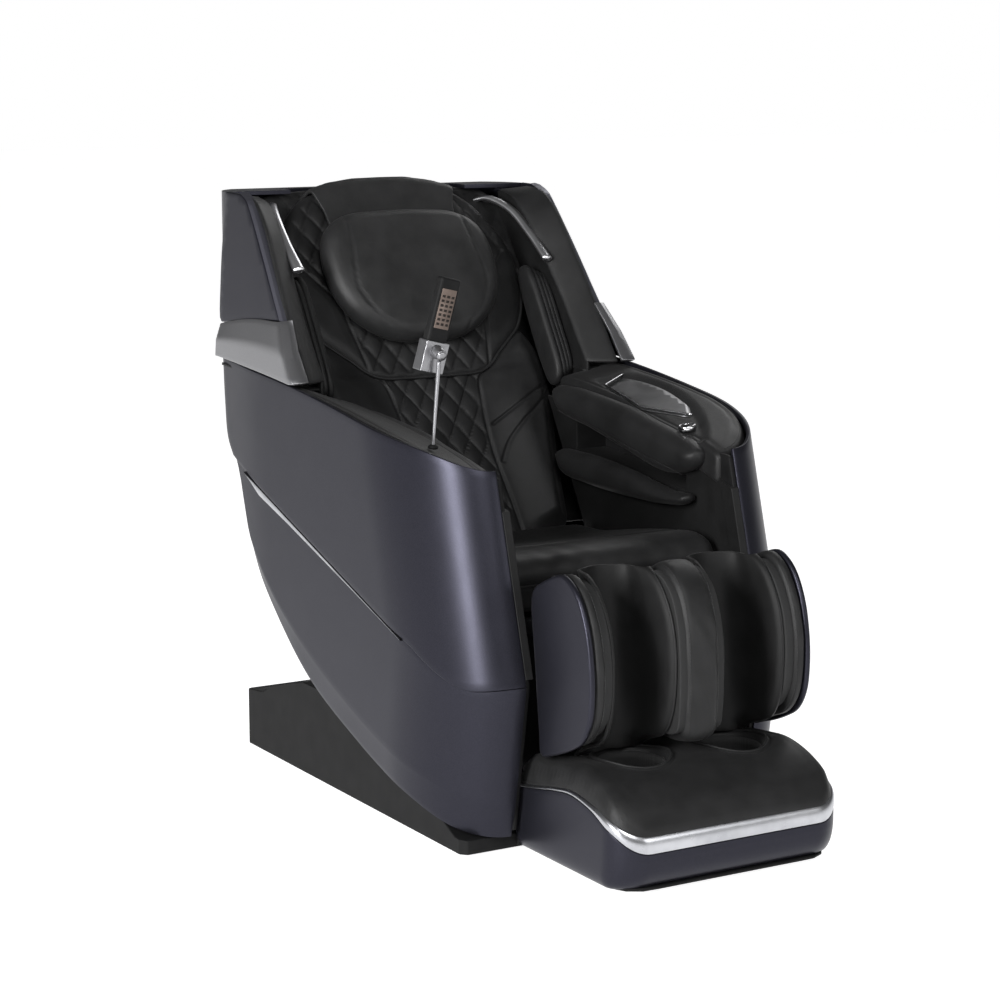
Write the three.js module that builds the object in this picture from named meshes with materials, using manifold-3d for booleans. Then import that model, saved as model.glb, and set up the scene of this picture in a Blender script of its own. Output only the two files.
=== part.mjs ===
// Zero-gravity massage chair: a floor base, a sliding carriage, a tilting seat, a reclining
// body shell with backrest and arms, a swinging calf rest and a telescoping foot unit.
// Millimetres, +Z up. The chair faces -Y and the origin is on the floor under its middle.
import * as THREE from 'three';
import { mergeVertices } from 'three/addons/utils/BufferGeometryUtils.js';
import Module from 'manifold-3d';

const wasm = await Module();
wasm.setup();

// ---- Driving dimensions -------------------------------------------------------------------
const GAP = 0.4;                    // clearance between pieces that touch
const HALF_WIDTH = 392;             // outer face of the side panels
const PANEL_SKIN = 8;
const PANEL_EDGE_X = 256;           // inner end of the rounded front of a side panel
const PANEL_ROUND_DEPTH = 255;      // how far back that rounded front reaches
const UPPER_FRONT = { y: -319, z: 680, lean: 0.285 };   // front edge of the upper panel
const LOWER_FRONT = { y: -421, z: 314, lean: -0.164 };  // front edge of the lower panel
const LOWER_STEP = 6;               // the lower panel lies this much inside the upper one
const CREASE = { y0: -207, z0: 378, y1: 440, z1: 590 }; // straight part of the panel joint

const SEAT_HALF_WIDTH = 236;
const SEAT_PIVOT = { y: 150, z: 300 };
const SHELL_PIVOT = { y: 150, z: 450 };
const CALF_PIVOT = { y: -380, z: 490 };
const CALF_HALF_WIDTH = 235;
const FOOT_HALF_WIDTH = 240;
const FOOT_ROLLER = { y: -505, z: 74, radius: 22, halfLength: 170 };

const BACK_ORIGIN = { y: 379, z: 768 };
const BACK_TILT = -31.3 * Math.PI / 180;
const BACK_PAD_DEPTH = 62;
const RAIL = { x: 165, width: 20, front: 86, back: 110, bottom: -335, top: 398 };
const ROLLER = { radius: 21, width: 22, depth: 95, rise: 55 };
const ARM_PIVOT_DEPTH = 116;

const LEGREST_ACTUATOR = { from: { y: -50, z: 270 }, to: { y: -386, z: 302.6 }, retract: 0 };
const RECLINE_ACTUATOR = { from: { y: 60, z: 312 }, to: { y: 272.5, z: 431.8 }, retract: 40 };

const ARM_WALL = { inner: 244, outer: 252 };
const ARM_TILT = 0.18;              // fall of the armrest top towards the seat
const ARM_TOP_THICKNESS = 42;

const BASE_HALF_WIDTH = 346;
const BASE_REAR = 575;
const WHEEL = { y: 541, z: 29, radius: 25 };

// ---- Materials ----------------------------------------------------------------------------
const paint = (color, roughness, metalness) =>
  new THREE.MeshStandardMaterial({ color, roughness, metalness });
const navyPaint = () => paint(0x4c4d5c, 0.38, 0.55);
const silverSatin = () => paint(0xa9aaad, 0.32, 0.85);
const leather = () => paint(0x2a2a2c, 0.55, 0.0);
const blackPlastic = () => paint(0x1c1c1e, 0.6, 0.0);
const steel = () => paint(0x6e7074, 0.45, 0.9);
const rubber = () => paint(0x171717, 0.85, 0.0);
const rollerPlastic = () => paint(0x8a3b2e, 0.5, 0.0);

// ---- Geometry helpers ---------------------------------------------------------------------
const X_AXIS = new THREE.Vector3(1, 0, 0);
const Y_AXIS = new THREE.Vector3(0, 1, 0);
const Z_AXIS = new THREE.Vector3(0, 0, 1);
const SIDEWAYS = new THREE.Matrix4().makeBasis(Y_AXIS, Z_AXIS, X_AXIS);
const FACING = new THREE.Matrix4().makeBasis(X_AXIS, Z_AXIS, Y_AXIS.clone().negate());

function extrude(shape, depth, curveSegments) {
  return new THREE.ExtrudeGeometry(shape, { depth, curveSegments, bevelEnabled: false });
}

// Slab of an outline drawn in (y, z), from x0 to x1.
function sideSlab(shape, x0, x1, curveSegments = 3) {
  return extrude(shape, x1 - x0, curveSegments).applyMatrix4(SIDEWAYS).translate(x0, 0, 0);
}

// Slab of an outline drawn in (x, y), from z0 to z1.
function planSlab(shape, z0, z1, curveSegments = 6) {
  return extrude(shape, z1 - z0, curveSegments).translate(0, 0, z0);
}

// Slab of an outline drawn in (x, z), from y0 to y1.
function faceSlab(shape, y0, y1, curveSegments = 3) {
  return extrude(shape, y1 - y0, curveSegments).applyMatrix4(FACING).translate(0, y1, 0);
}

function box(x0, x1, y0, y1, z0, z1) {
  const geometry = new THREE.BoxGeometry(x1 - x0, y1 - y0, z1 - z0);
  return geometry.translate((x0 + x1) / 2, (y0 + y1) / 2, (z0 + z1) / 2);
}

// Round bar along X, centred on (y, z).
function crossBar(x0, x1, y, z, radius, sides = 20) {
  const geometry = new THREE.CylinderGeometry(radius, radius, x1 - x0, sides);
  return geometry.rotateZ(Math.PI / 2).translate((x0 + x1) / 2, y, z);
}

// Round bar between two points.
function rod(from, to, radius, sides = 16) {
  const start = new THREE.Vector3(...from);
  const span = new THREE.Vector3(...to).sub(start);
  const geometry = new THREE.CylinderGeometry(radius, radius, span.length(), sides);
  const turn = new THREE.Quaternion().setFromUnitVectors(Y_AXIS, span.clone().normalize());
  const middle = start.addScaledVector(span, 0.5);
  return geometry.applyQuaternion(turn).translate(middle.x, middle.y, middle.z);
}

function polygon(points) {
  return new THREE.Shape(points.map(([a, b]) => new THREE.Vector2(a, b)));
}

// Closed outline that curves smoothly through its points.
function softOutline(points) {
  const ring = points.map(([a, b]) => new THREE.Vector3(a, b, 0));
  const curve = new THREE.CatmullRomCurve3(ring, true, 'centripetal');
  return polygon(curve.getPoints(points.length * 3).slice(0, -1).map((p) => [p.x, p.y]));
}

// Leans a piece so that y (and x) shift in step with the height above z = ref.
function lean(geometry, yPerZ, xPerZ, ref) {
  const shear = new THREE.Matrix4().set(
    1, 0, xPerZ, -xPerZ * ref,
    0, 1, yPerZ, -yPerZ * ref,
    0, 0, 1, 0,
    0, 0, 0, 1,
  );
  return geometry.applyMatrix4(shear);
}

function solid(geometry) {
  const bare = geometry.clone();
  bare.deleteAttribute('normal');
  bare.deleteAttribute('uv');
  const merged = mergeVertices(bare, 1e-3);
  return new wasm.Manifold(new wasm.Mesh({
    numProp: 3,
    vertProperties: new Float32Array(merged.attributes.position.array),
    triVerts: new Uint32Array(merged.index.array),
  }));
}

function geometryOf(body) {
  const mesh = body.getMesh();
  const geometry = new THREE.BufferGeometry();
  geometry.setAttribute('position', new THREE.BufferAttribute(mesh.vertProperties, 3));
  geometry.setIndex(new THREE.BufferAttribute(mesh.triVerts, 1));
  geometry.computeVertexNormals();
  return geometry;
}

function join(...geometries) {
  return geometryOf(geometries.map(solid).reduce((whole, next) => whole.add(next)));
}

function cut(geometry, ...tools) {
  return geometryOf(tools.map(solid).reduce((whole, next) => whole.subtract(next), solid(geometry)));
}

function common(...geometries) {
  return geometryOf(geometries.map(solid).reduce((whole, next) => whole.intersect(next)));
}

const chair = new THREE.Group();

function place(parent, name, geometry, material) {
  const mesh = new THREE.Mesh(geometry, material);
  mesh.name = name;
  parent.add(mesh);
  return mesh;
}

// ---- Side panels, arms and wings: drawn for the +X side, mirrored for the other -----------

// Plan section of a side panel skin: straight, then rounded round to the front edge.
function panelPlan(outerX, frontY) {
  const centreY = frontY + PANEL_ROUND_DEPTH;
  const across = outerX - PANEL_EDGE_X;
  const shape = new THREE.Shape();
  shape.moveTo(outerX - 18, 640);
  shape.quadraticCurveTo(outerX, 480, outerX, 320);
  shape.lineTo(outerX, centreY);
  shape.absellipse(PANEL_EDGE_X, centreY, across, PANEL_ROUND_DEPTH, 0, -Math.PI / 2, true);
  shape.lineTo(PANEL_EDGE_X, frontY + PANEL_SKIN);
  shape.absellipse(PANEL_EDGE_X, centreY, across - PANEL_SKIN, PANEL_ROUND_DEPTH - PANEL_SKIN,
    -Math.PI / 2, 0, false);
  shape.lineTo(outerX - PANEL_SKIN, 320);
  shape.quadraticCurveTo(outerX - PANEL_SKIN, 480, outerX - 18 - PANEL_SKIN, 640);
  shape.closePath();
  return shape;
}

function panelSkin(outerX, front, z0, z1) {
  return lean(planSlab(panelPlan(outerX, front.y), z0, z1, 8), front.lean, 0, front.z);
}

const PANEL_TOP = [
  [565, 808], [454, 802], [217, 785], [17, 762], [-160, 735], [-254, 713], [-319, 688],
];
const PANEL_BOTTOM = [
  [511, 611], [485, 553], [464, 499], [423, 415], [339, 331], [189, 223], [-32, 136],
  [-211, 82], [-308, 47], [-357, 35], [-390, 27],
];
const CREASE_FRONT = [[-265, 350], [-311, 327], [-348, 311], [-373, 307], [-450, 314]];

function upperPanelOutline() {
  const rear = [[511, 611], [545, 650], [558, 723]];
  const crease = [[CREASE.y1, CREASE.z1], [CREASE.y0, CREASE.z0], ...CREASE_FRONT];
  return polygon([...PANEL_TOP, [-345, 676], ...crease.reverse(), ...rear]);
}

function lowerPanelOutline() {
  const below = ([y, z]) => [y, z - 1];
  const crease = [[CREASE.y1, CREASE.z1], [CREASE.y0, CREASE.z0], ...CREASE_FRONT].map(below);
  return polygon([...crease, [-450, 20], ...PANEL_BOTTOM.slice().reverse().map(below)]);
}

function accentStripOutline() {
  return polygon([
    [CREASE.y1 + 8, CREASE.z1 + 0.6], [CREASE.y0 + 4, CREASE.z0 - 1.2],
    [CREASE.y0 + 4, CREASE.z0 - 3.6], [381, 551], [432, 578],
  ]);
}

const KNOB = { x: 256, y: -168, z: 706 };
const knobWell = rod([KNOB.x, KNOB.y, KNOB.z - 1], [KNOB.x, KNOB.y, KNOB.z + 40], 18, 28);

// Height of the armrest top at its outer edge.
const ARM_TOP = [
  [285, 786], [217, 783], [17, 764], [-160, 737], [-254, 715], [-322, 690],
];

function armrestTop() {
  const under = ARM_TOP.slice().reverse().map(([y, z]) => [y, z - ARM_TOP_THICKNESS]);
  const slab = sideSlab(polygon([...ARM_TOP, ...under]), ARM_WALL.inner, HALF_WIDTH);
  const tilt = new THREE.Matrix4().set(
    1, 0, 0, 0,
    0, 1, 0, 0,
    ARM_TILT, 0, 1, -ARM_TILT * HALF_WIDTH,
    0, 0, 0, 1,
  );
  const centreY = UPPER_FRONT.y + PANEL_ROUND_DEPTH;
  const across = HALF_WIDTH - PANEL_EDGE_X - PANEL_SKIN - GAP;
  const inside = new THREE.Shape();
  inside.moveTo(ARM_WALL.inner - 10, 420);
  inside.lineTo(ARM_WALL.inner - 10, UPPER_FRONT.y + PANEL_SKIN + GAP);
  inside.lineTo(PANEL_EDGE_X, UPPER_FRONT.y + PANEL_SKIN + GAP);
  inside.absellipse(PANEL_EDGE_X, centreY, across, PANEL_ROUND_DEPTH - PANEL_SKIN - GAP,
    -Math.PI / 2, 0, false);
  inside.lineTo(HALF_WIDTH - PANEL_SKIN - GAP, 420);
  inside.closePath();
  const core = lean(planSlab(inside, 560, 860, 8), UPPER_FRONT.lean, 0, UPPER_FRONT.z);
  return common(slab.applyMatrix4(tilt), core);
}

// Inner wall of an arm, with the pocket for the forearm and the return beside the front edge.
function armLiner() {
  const wallTop = ARM_TOP.map(([y, z]) => [y, z - 71]);
  wallTop[0] = [322, 716];
  const outline = polygon([...wallTop, [-325, 600], [-398, 350], [-360, 350], [-200, 400],
    [140, 400]]);
  const wall = sideSlab(outline, ARM_WALL.inner, ARM_WALL.outer);
  const returnPlan = polygon([[240, -319], [255.5, -319], [255.5, -285], [240, -285]]);
  const frontReturn = common(
    lean(planSlab(returnPlan, 330, 640), UPPER_FRONT.lean, 0, UPPER_FRONT.z),
    sideSlab(polygon([[-200, 640], [-450, 600], [-450, 330], [-200, 330]]), 230, 260),
  );
  const pocket = sideSlab(polygon([[215, 692], [-190, 634], [-190, 582], [215, 612]]), 246, 322);
  const hollow = sideSlab(polygon([[208, 684], [-183, 628], [-183, 589], [208, 619]]), 200, 315);
  const pinHole = crossBar(240, 258, SHELL_PIVOT.y, SHELL_PIVOT.z, 7.8);
  return cut(join(wall, frontReturn, pocket), hollow, pinHole);
}

const FOREARM_UPPER = [
  [250, 728], [157, 738], [-71, 702], [-230, 676], [-245, 656], [-228, 641], [-155, 622],
  [-2, 647], [120, 672], [236, 690],
];
const FOREARM_LOWER = [
  [240, 612], [156, 620], [-17, 610], [-168, 588], [-228, 588], [-222, 574], [-122, 558],
  [-88, 557], [130, 560], [220, 572],
];

const ACCENT_BOTTOM = 792;
const ACCENT_LEAN = -0.23;
const WING_LEAN = -0.08;
const WING_FOOT = 902;

function shoulderAccent() {
  const outline = polygon([[223, 792], [313, 895], [450, 890], [578, 872], [578, 813]]);
  return lean(sideSlab(outline, 377, 389), 0, ACCENT_LEAN, ACCENT_BOTTOM);
}

function wingShell() {
  const front = [[321, 903], [382, 980], [468, 1091], [526, 1136]];
  const skin = sideSlab(polygon([...front, [597, 1138], [597, 876], [452, 893]]), 361, 369);
  const rim = sideSlab(polygon([...front, [548, 1136], [488, 1088], [404, 974], [352, 902]]),
    349, 369);
  return lean(join(skin, rim), 0, WING_LEAN, WING_FOOT);
}

// Black lining inside a wing: a broad front edge and a wall that runs back to the cover.
function wingLiner() {
  const front = [[292, 790], [330, 880], [389, 1008], [502, 1128]];
  const edge = [[560, 1128], [440, 990], [382, 880], [350, 790]];
  const band = lean(sideSlab(polygon([...front, ...edge]), 300, 348.4), 0, WING_LEAN, WING_FOOT);
  const wall = sideSlab(polygon([...front, [597, 1128], [597, 790]]), 300, 307);
  const bound = box(300, 346, 200, 620, 780, 1140);
  return common(join(band, wall), bound);
}

function shoulderPad() {
  const outline = softOutline([
    [-14, -40], [-14, 190], [-26, 216], [-52, 212], [-64, 190], [-70, 60], [-68, -30],
    [-52, -54], [-26, -56],
  ]);
  return sideSlab(outline, 260, 298);
}

function backrestGroup() {
  const group = new THREE.Group();
  group.position.set(0, BACK_ORIGIN.y, BACK_ORIGIN.z);
  group.rotation.x = BACK_TILT;
  return group;
}

for (const [side, mirror] of [['left', 1], ['right', -1]]) {
  const half = new THREE.Group();
  half.scale.x = mirror;
  chair.add(half);

  const upper = common(panelSkin(HALF_WIDTH, UPPER_FRONT, 290, 830),
    sideSlab(upperPanelOutline(), 200, 400));
  place(half, `${side}_side_panel_upper`, upper, navyPaint());
  const lower = common(panelSkin(HALF_WIDTH - LOWER_STEP, LOWER_FRONT, 15, 640),
    sideSlab(lowerPanelOutline(), 200, 400));
  place(half, `${side}_side_panel_lower`, lower, navyPaint());
  const stripX = HALF_WIDTH - LOWER_STEP + GAP;
  place(half, `${side}_accent_strip`, sideSlab(accentStripOutline(), stripX, stripX + 4),
    silverSatin());

  place(half, `${side}_arm_liner`, armLiner(), blackPlastic());
  place(half, `${side}_armrest_top`, side === 'left' ? cut(armrestTop(), knobWell) : armrestTop(),
    leather());
  place(half, `${side}_forearm_pad_upper`, sideSlab(softOutline(FOREARM_UPPER), 206, 243.5),
    leather());
  place(half, `${side}_forearm_pad_lower`, sideSlab(softOutline(FOREARM_LOWER), 206, 243.5),
    leather());

  place(half, `${side}_shoulder_accent`, shoulderAccent(), silverSatin());
  place(half, `${side}_wing_shell`, wingShell(), navyPaint());
  place(half, `${side}_wing_liner`, wingLiner(), blackPlastic());
  const halfBack = backrestGroup();
  half.add(halfBack);
  place(halfBack, `${side}_shoulder_pad`, shoulderPad(), leather());
}

// ---- Rear cover ---------------------------------------------------------------------------

// Solid enclosed by the upright part of the cover, smaller by the inset on every closed side.
function hoodVolume(inset) {
  const halfWidth = 350 - inset;
  const rear = 705 - inset;
  const corner = 110 - inset;
  const plan = new THREE.Shape();
  plan.moveTo(halfWidth, 500);
  plan.lineTo(halfWidth, rear - corner);
  plan.absarc(halfWidth - corner, rear - corner, corner, 0, Math.PI / 2, false);
  plan.lineTo(corner - halfWidth, rear);
  plan.absarc(corner - halfWidth, rear - corner, corner, Math.PI / 2, Math.PI, false);
  plan.lineTo(-halfWidth, 500);
  plan.closePath();
  const top = 1138 - inset;
  const profile = polygon([
    [598, top], [690 - inset, top], [rear, top - 15], [rear, 840], [697 - inset, 740],
    [672 - inset, 640], [632 - inset, 540], [590 - inset, 470 + inset], [520, 455 + inset],
    [520, 800], [580, 800], [580, 866], [598, 866],
  ]);
  const face = polygon([
    [halfWidth, 1140], [-halfWidth, 1140], [-halfWidth, 760], [inset - 290, 600],
    [inset - 262, 440], [262 - inset, 440], [290 - inset, 600], [halfWidth, 760],
  ]);
  return common(planSlab(plan, 430, 1140, 6), sideSlab(profile, -360, 360),
    faceSlab(face, 490, 720));
}

// Solid enclosed by the part of the cover that closes the shell between the side panels.
function tailVolume(inset) {
  const profile = polygon([
    [590 - inset, 798 - inset], [588 - inset, 723], [576 - inset, 655], [543 - inset, 600],
    [518 - inset, 553], [496 - inset, 499], [468 - inset, 440 + inset], [330, 398 + inset],
    [330, 412 + inset], [440, 470], [490, 600], [530, 720], [530, 798 - inset],
  ]);
  return sideSlab(profile, inset - 362, 362 - inset);
}

function rearCover() {
  const wall = 8;
  const mouth = join(box(-341.5, 341.5, 560, 606, 875, 1129.5), box(-354, 354, 525, 600, 560, 790));
  const throat = sideSlab(polygon([[380, 421], [300, 440], [520, 810], [570, 795], [520, 650],
    [470, 500], [452, 447]]), -354, 354);
  const padNotch = box(-205, 205, 590, 653, 1120, 1150);
  return cut(join(hoodVolume(0), tailVolume(0)), hoodVolume(wall), tailVolume(wall), mouth, throat,
    padNotch);
}
place(chair, 'rear_cover', rearCover(), navyPaint());

// ---- Backrest: everything below is drawn in the plane of the back, z running up it --------
const back = backrestGroup();
chair.add(back);

function backrestFrame() {
  const rails = [-1, 1].map((sign) => {
    const inner = sign * RAIL.x;
    const outer = sign * (RAIL.x + RAIL.width);
    return box(Math.min(inner, outer), Math.max(inner, outer), RAIL.front, RAIL.back,
      RAIL.bottom, RAIL.top);
  });
  const bars = [RAIL.bottom, RAIL.top - 20].map((z) =>
    box(-RAIL.x - 5, RAIL.x + 5, RAIL.front + 2, RAIL.back - 2, z, z + 20));
  const wingPlates = [-250, 130].map((z) =>
    box(-262, 262, RAIL.back - 4, RAIL.back + 4, z, z + 30));
  const middleGap = box(-RAIL.x, RAIL.x, 60, 150, RAIL.bottom + 20, RAIL.top - 20);
  return cut(join(...rails, ...bars, ...wingPlates), middleGap);
}
place(back, 'backrest_frame', backrestFrame(), steel());

const UPPER_PAD = [
  [40, -6], [118, -5], [173, 31], [214, 54], [252, 110], [272, 180], [274, 240], [249, 324],
  [220, 372], [179, 412], [117, 432], [40, 443],
];
const mirrored = (points) => points.slice().reverse().map(([x, z]) => [-x, z]);
place(back, 'upper_back_pad',
  faceSlab(softOutline([...UPPER_PAD, ...mirrored(UPPER_PAD)]), -8, BACK_PAD_DEPTH), leather());

const LOWER_PAD = [
  [232, -345], [238, -200], [262, -60], [250, -2], [212, 30], [176, 12], [122, -16],
];
place(back, 'lower_back_pad',
  faceSlab(polygon([...LOWER_PAD, ...mirrored(LOWER_PAD)]), -8, BACK_PAD_DEPTH), leather());

const PILLOW = [[70, 48], [140, 78], [188, 130], [200, 225], [186, 300], [132, 343]];
place(back, 'headrest_pillow',
  faceSlab(softOutline([...PILLOW, ...mirrored(PILLOW)]), -76, -9), leather());

// Massage unit that runs on the rails: a chassis, two kneading arms and four rollers.
function massageCarriage() {
  const plate = box(-140, 140, 126, 146, -45, 45);
  const shoes = [-1, 1].map((sign) => {
    const near = sign * 130;
    const far = sign * (RAIL.x - 1);
    return box(Math.min(near, far), Math.max(near, far), RAIL.front + 2, 146, -30, 30);
  });
  const motor = rod([-40, 136, 0], [40, 136, 0], 10);
  const pins = [-1, 1].map((sign) =>
    join(box(Math.min(sign * 36, sign * 47), Math.max(sign * 36, sign * 47), 104, 130, -11, 11),
      crossBar(Math.min(sign * 40, sign * 64), Math.max(sign * 40, sign * 64), ARM_PIVOT_DEPTH, 0,
        5)));
  return join(plate, ...shoes, motor, ...pins);
}
place(back, 'massage_carriage', massageCarriage(), steel());

const ROLLER_LATHE = new THREE.LatheGeometry([
  [0, -0.5], [0.75, -0.5], [0.95, -0.25], [1, 0], [0.95, 0.25], [0.75, 0.5], [0, 0.5],
].map(([r, h]) => new THREE.Vector2(r * ROLLER.radius, h * ROLLER.width)), 20);

for (const [side, sign] of [['left', 1], ['right', -1]]) {
  const lever = polygon([
    [ROLLER.depth - 8, -ROLLER.rise - 6], [ROLLER.depth + 8, -ROLLER.rise - 6], [124, 0],
    [ROLLER.depth + 8, ROLLER.rise + 6], [ROLLER.depth - 8, ROLLER.rise + 6], [106, 0],
  ]);
  const armX = 50;
  const xs = [sign * armX, sign * (armX + 12)].sort((a, b) => a - b);
  const boss = crossBar(xs[0], xs[1], ARM_PIVOT_DEPTH, 0, 9);
  const hole = crossBar(xs[0] - 1, xs[1] + 1, ARM_PIVOT_DEPTH, 0, 5.6);
  const axles = [-1, 1].map((end) => {
    const axleX = [sign * (armX + 6), sign * (armX + 14 + ROLLER.width)].sort((a, b) => a - b);
    return crossBar(axleX[0], axleX[1], ROLLER.depth, end * ROLLER.rise, 4, 12);
  });
  const arm = join(cut(join(sideSlab(lever, xs[0], xs[1]), boss), hole), ...axles);
  place(back, `${side}_kneading_arm`, arm, steel());
  for (const [level, end] of [['upper', 1], ['lower', -1]]) {
    const bore = new THREE.CylinderGeometry(4.5, 4.5, ROLLER.width + 2, 12);
    const wheel = cut(ROLLER_LATHE, bore).rotateZ(Math.PI / 2);
    wheel.translate(sign * (armX + 13 + ROLLER.width / 2), ROLLER.depth, end * ROLLER.rise);
    place(back, `${side}_${level}_massage_roller`, wheel, rollerPlastic());
  }
}

// ---- Seat ---------------------------------------------------------------------------------
place(chair, 'seat_cushion', sideSlab(softOutline([
  [190, 462], [-120, 510], [-260, 526], [-300, 508], [-303, 470], [-286, 428], [-240, 408],
  [-60, 403], [140, 402], [186, 415],
]), -SEAT_HALF_WIDTH, SEAT_HALF_WIDTH), leather());

function seatFrame() {
  const deck = cut(box(-228, 228, -250, 165, 372, 398), box(-60, 60, 70, 170, 360, 410));
  const pieces = [deck];
  for (const sign of [-1, 1]) {
    const slab = (shape, near, far) =>
      sideSlab(shape, Math.min(sign * near, sign * far), Math.max(sign * near, sign * far));
    const bar = (near, far, pivot, radius) => crossBar(Math.min(sign * near, sign * far),
      Math.max(sign * near, sign * far), pivot.y, pivot.z, radius);
    const hanger = slab(polygon([[100, 380], [124, 296], [176, 296], [165, 380]]), 214, 228);
    const eye = join(hanger, bar(214, 228, SEAT_PIVOT, 26));
    pieces.push(cut(eye, bar(210, 232, SEAT_PIVOT, 9.8)));
    pieces.push(slab(polygon([[90, 374], [90, 398], [136, 462], [164, 462], [165, 374]]),
      237.3, 242.3));
    pieces.push(slab(polygon([[92, 374], [92, 396], [160, 396], [160, 374]]), 226, 242.3));
    pieces.push(bar(238, 256, SHELL_PIVOT, 7));
    pieces.push(slab(polygon([[-235, 373], [-345, 373], [-390, 484], [-370, 494], [-330, 402],
      [-235, 397]]), 150, 162));
    pieces.push(bar(150, 162, CALF_PIVOT, 12));
    pieces.push(bar(150, 176, CALF_PIVOT, 5));
  }
  // Skirt under the front edge, split in the middle for the leg rest actuator.
  pieces.push(box(24, 234, -249, -243, 112, 373), box(-234, -24, -249, -243, 112, 373));
  for (const { from } of [LEGREST_ACTUATOR, RECLINE_ACTUATOR]) {
    pieces.push(sideSlab(polygon([[from.y - 26, 376], [from.y + 9, 376], [from.y + 11, from.z - 9],
      [from.y - 11, from.z - 9]]), -8, 8));
    pieces.push(crossBar(-24, 24, from.y, from.z, 6));
  }
  return join(...pieces);
}
place(chair, 'seat_frame', seatFrame(), steel());

// ---- Calf rest ----------------------------------------------------------------------------
const CALF_SIDE = [
  [-500, 532], [-546, 508], [-584, 440], [-596, 350], [-590, 285], [-560, 242], [-500, 216],
  [-432, 193], [-424, 240], [-404, 400], [-396, 480], [-430, 506],
];

function calfFrame() {
  const rearAt = (z) => -394 - (486 - z) * 0.1186;
  const plate = sideSlab(polygon([
    [rearAt(468) - 1, 468], [rearAt(200) - 1, 200], [rearAt(200) - 24, 208],
    [rearAt(468) - 24, 468],
  ]), -185, 185);
  const rodLug = sideSlab(polygon([[-424, 320], [-424, 286], [-396, 294], [-396, 314]]), -8, 8);
  const pieces = [plate, rodLug];
  for (const sign of [-1, 1]) {
    const xs = [sign * 164, sign * 175].sort((a, b) => a - b);
    const lug = join(
      sideSlab(polygon([[-400, 430], [-416, 430], [-416, 466], [-388, 499], [-370, 484]]), ...xs),
      crossBar(xs[0], xs[1], CALF_PIVOT.y, CALF_PIVOT.z, 12));
    pieces.push(cut(lug, crossBar(xs[0] - 1, xs[1] + 1, CALF_PIVOT.y, CALF_PIVOT.z, 5.7)));
  }
  return join(...pieces);
}
place(chair, 'calf_frame', calfFrame(), blackPlastic());

for (const [side, mirror] of [['left', 1], ['right', -1]]) {
  const half = new THREE.Group();
  half.scale.x = mirror;
  chair.add(half);
  place(half, `${side}_calf_outer_cover`, sideSlab(softOutline(CALF_SIDE), 223, CALF_HALF_WIDTH),
    navyPaint());
  const pad = softOutline([
    [-500, 527], [-542, 503], [-580, 438], [-591, 350], [-586, 288], [-558, 247], [-500, 222],
    [-452, 212], [-432, 300], [-422, 400], [-420, 478], [-450, 508],
  ]);
  place(half, `${side}_calf_side_pad`, sideSlab(pad, 186, 222.4), leather());
}

place(chair, 'calf_center_pad', sideSlab(softOutline([
  [-470, 520], [-519, 536], [-560, 505], [-592, 410], [-598, 310], [-592, 236], [-560, 226],
  [-500, 224], [-458, 230], [-444, 320], [-430, 420], [-428, 490],
]), -38, 38), leather());

// ---- Foot unit ----------------------------------------------------------------------------

// Plan of the foot unit: square at the back, round at the front corners.
function footPlan(inset) {
  const halfWidth = FOOT_HALF_WIDTH - inset;
  const front = -705 + inset;
  const corner = 62 - inset;
  const shape = new THREE.Shape();
  shape.moveTo(halfWidth, -358 - inset);
  shape.lineTo(-halfWidth, -358 - inset);
  shape.lineTo(-halfWidth, front + corner);
  shape.absarc(corner - halfWidth, front + corner, corner, Math.PI, Math.PI * 1.5, false);
  shape.lineTo(halfWidth - corner, front);
  shape.absarc(halfWidth - corner, front + corner, corner, -Math.PI / 2, 0, false);
  shape.closePath();
  return shape;
}

const TRIM_LINE = [[-358, 126], [-485, 149], [-541, 156], [-605, 147], [-671, 126], [-706, 106]];
const TRIM_UNDER = [[-358, 121], [-485, 144], [-541, 150], [-605, 139], [-671, 108], [-706, 77]];

function footWells(depth) {
  return [-1, 1].map((sign) => {
    const well = new THREE.Shape();
    well.absellipse(sign * 104, -525, 62, 68, 0, Math.PI * 2, false);
    return planSlab(well, depth, 260, 6);
  });
}

function footShell() {
  const profile = polygon([...TRIM_UNDER.map(([y, z]) => [y, z - GAP]), [-690, 52], [-640, 12],
    [-358, 12]]);
  const body = common(planSlab(footPlan(0), 5, 200, 6), sideSlab(profile, -250, 250));
  const trough = box(-178, 178, -590, -460, 44, 170);
  const feet = [-1, 1].flatMap((sign) => [-400, -600].map((y) => {
    const pad = new THREE.CylinderGeometry(14, 14, 12, 16);
    return pad.rotateX(Math.PI / 2).translate(sign * 190, y, 9);
  }));
  const { y, z } = FOOT_ROLLER;
  const axle = crossBar(-190, 190, y, z, 5, 12);
  return join(cut(body, trough), axle, ...feet);
}
place(chair, 'foot_shell', footShell(), navyPaint());

const trimProfile = polygon([...TRIM_LINE, ...TRIM_UNDER.slice().reverse()]);
place(chair, 'foot_trim', common(
  cut(planSlab(footPlan(0), 60, 200, 6), planSlab(footPlan(7), 50, 210, 6),
    box(-250, 250, -368, -350, 50, 210)),
  sideSlab(trimProfile, -250, 250)), silverSatin());

const footPadProfile = polygon([
  [-364, 186], [-429, 187], [-560, 200], [-620, 184], [-670, 152], [-697, 118],
  ...TRIM_LINE.slice(1, -1).reverse().map(([y, z]) => [y, z + GAP]), [-364, 128],
]);
place(chair, 'foot_pad', cut(
  common(planSlab(footPlan(5), 100, 210, 6), sideSlab(footPadProfile, -240, 240)),
  ...footWells(100)), leather());

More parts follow.
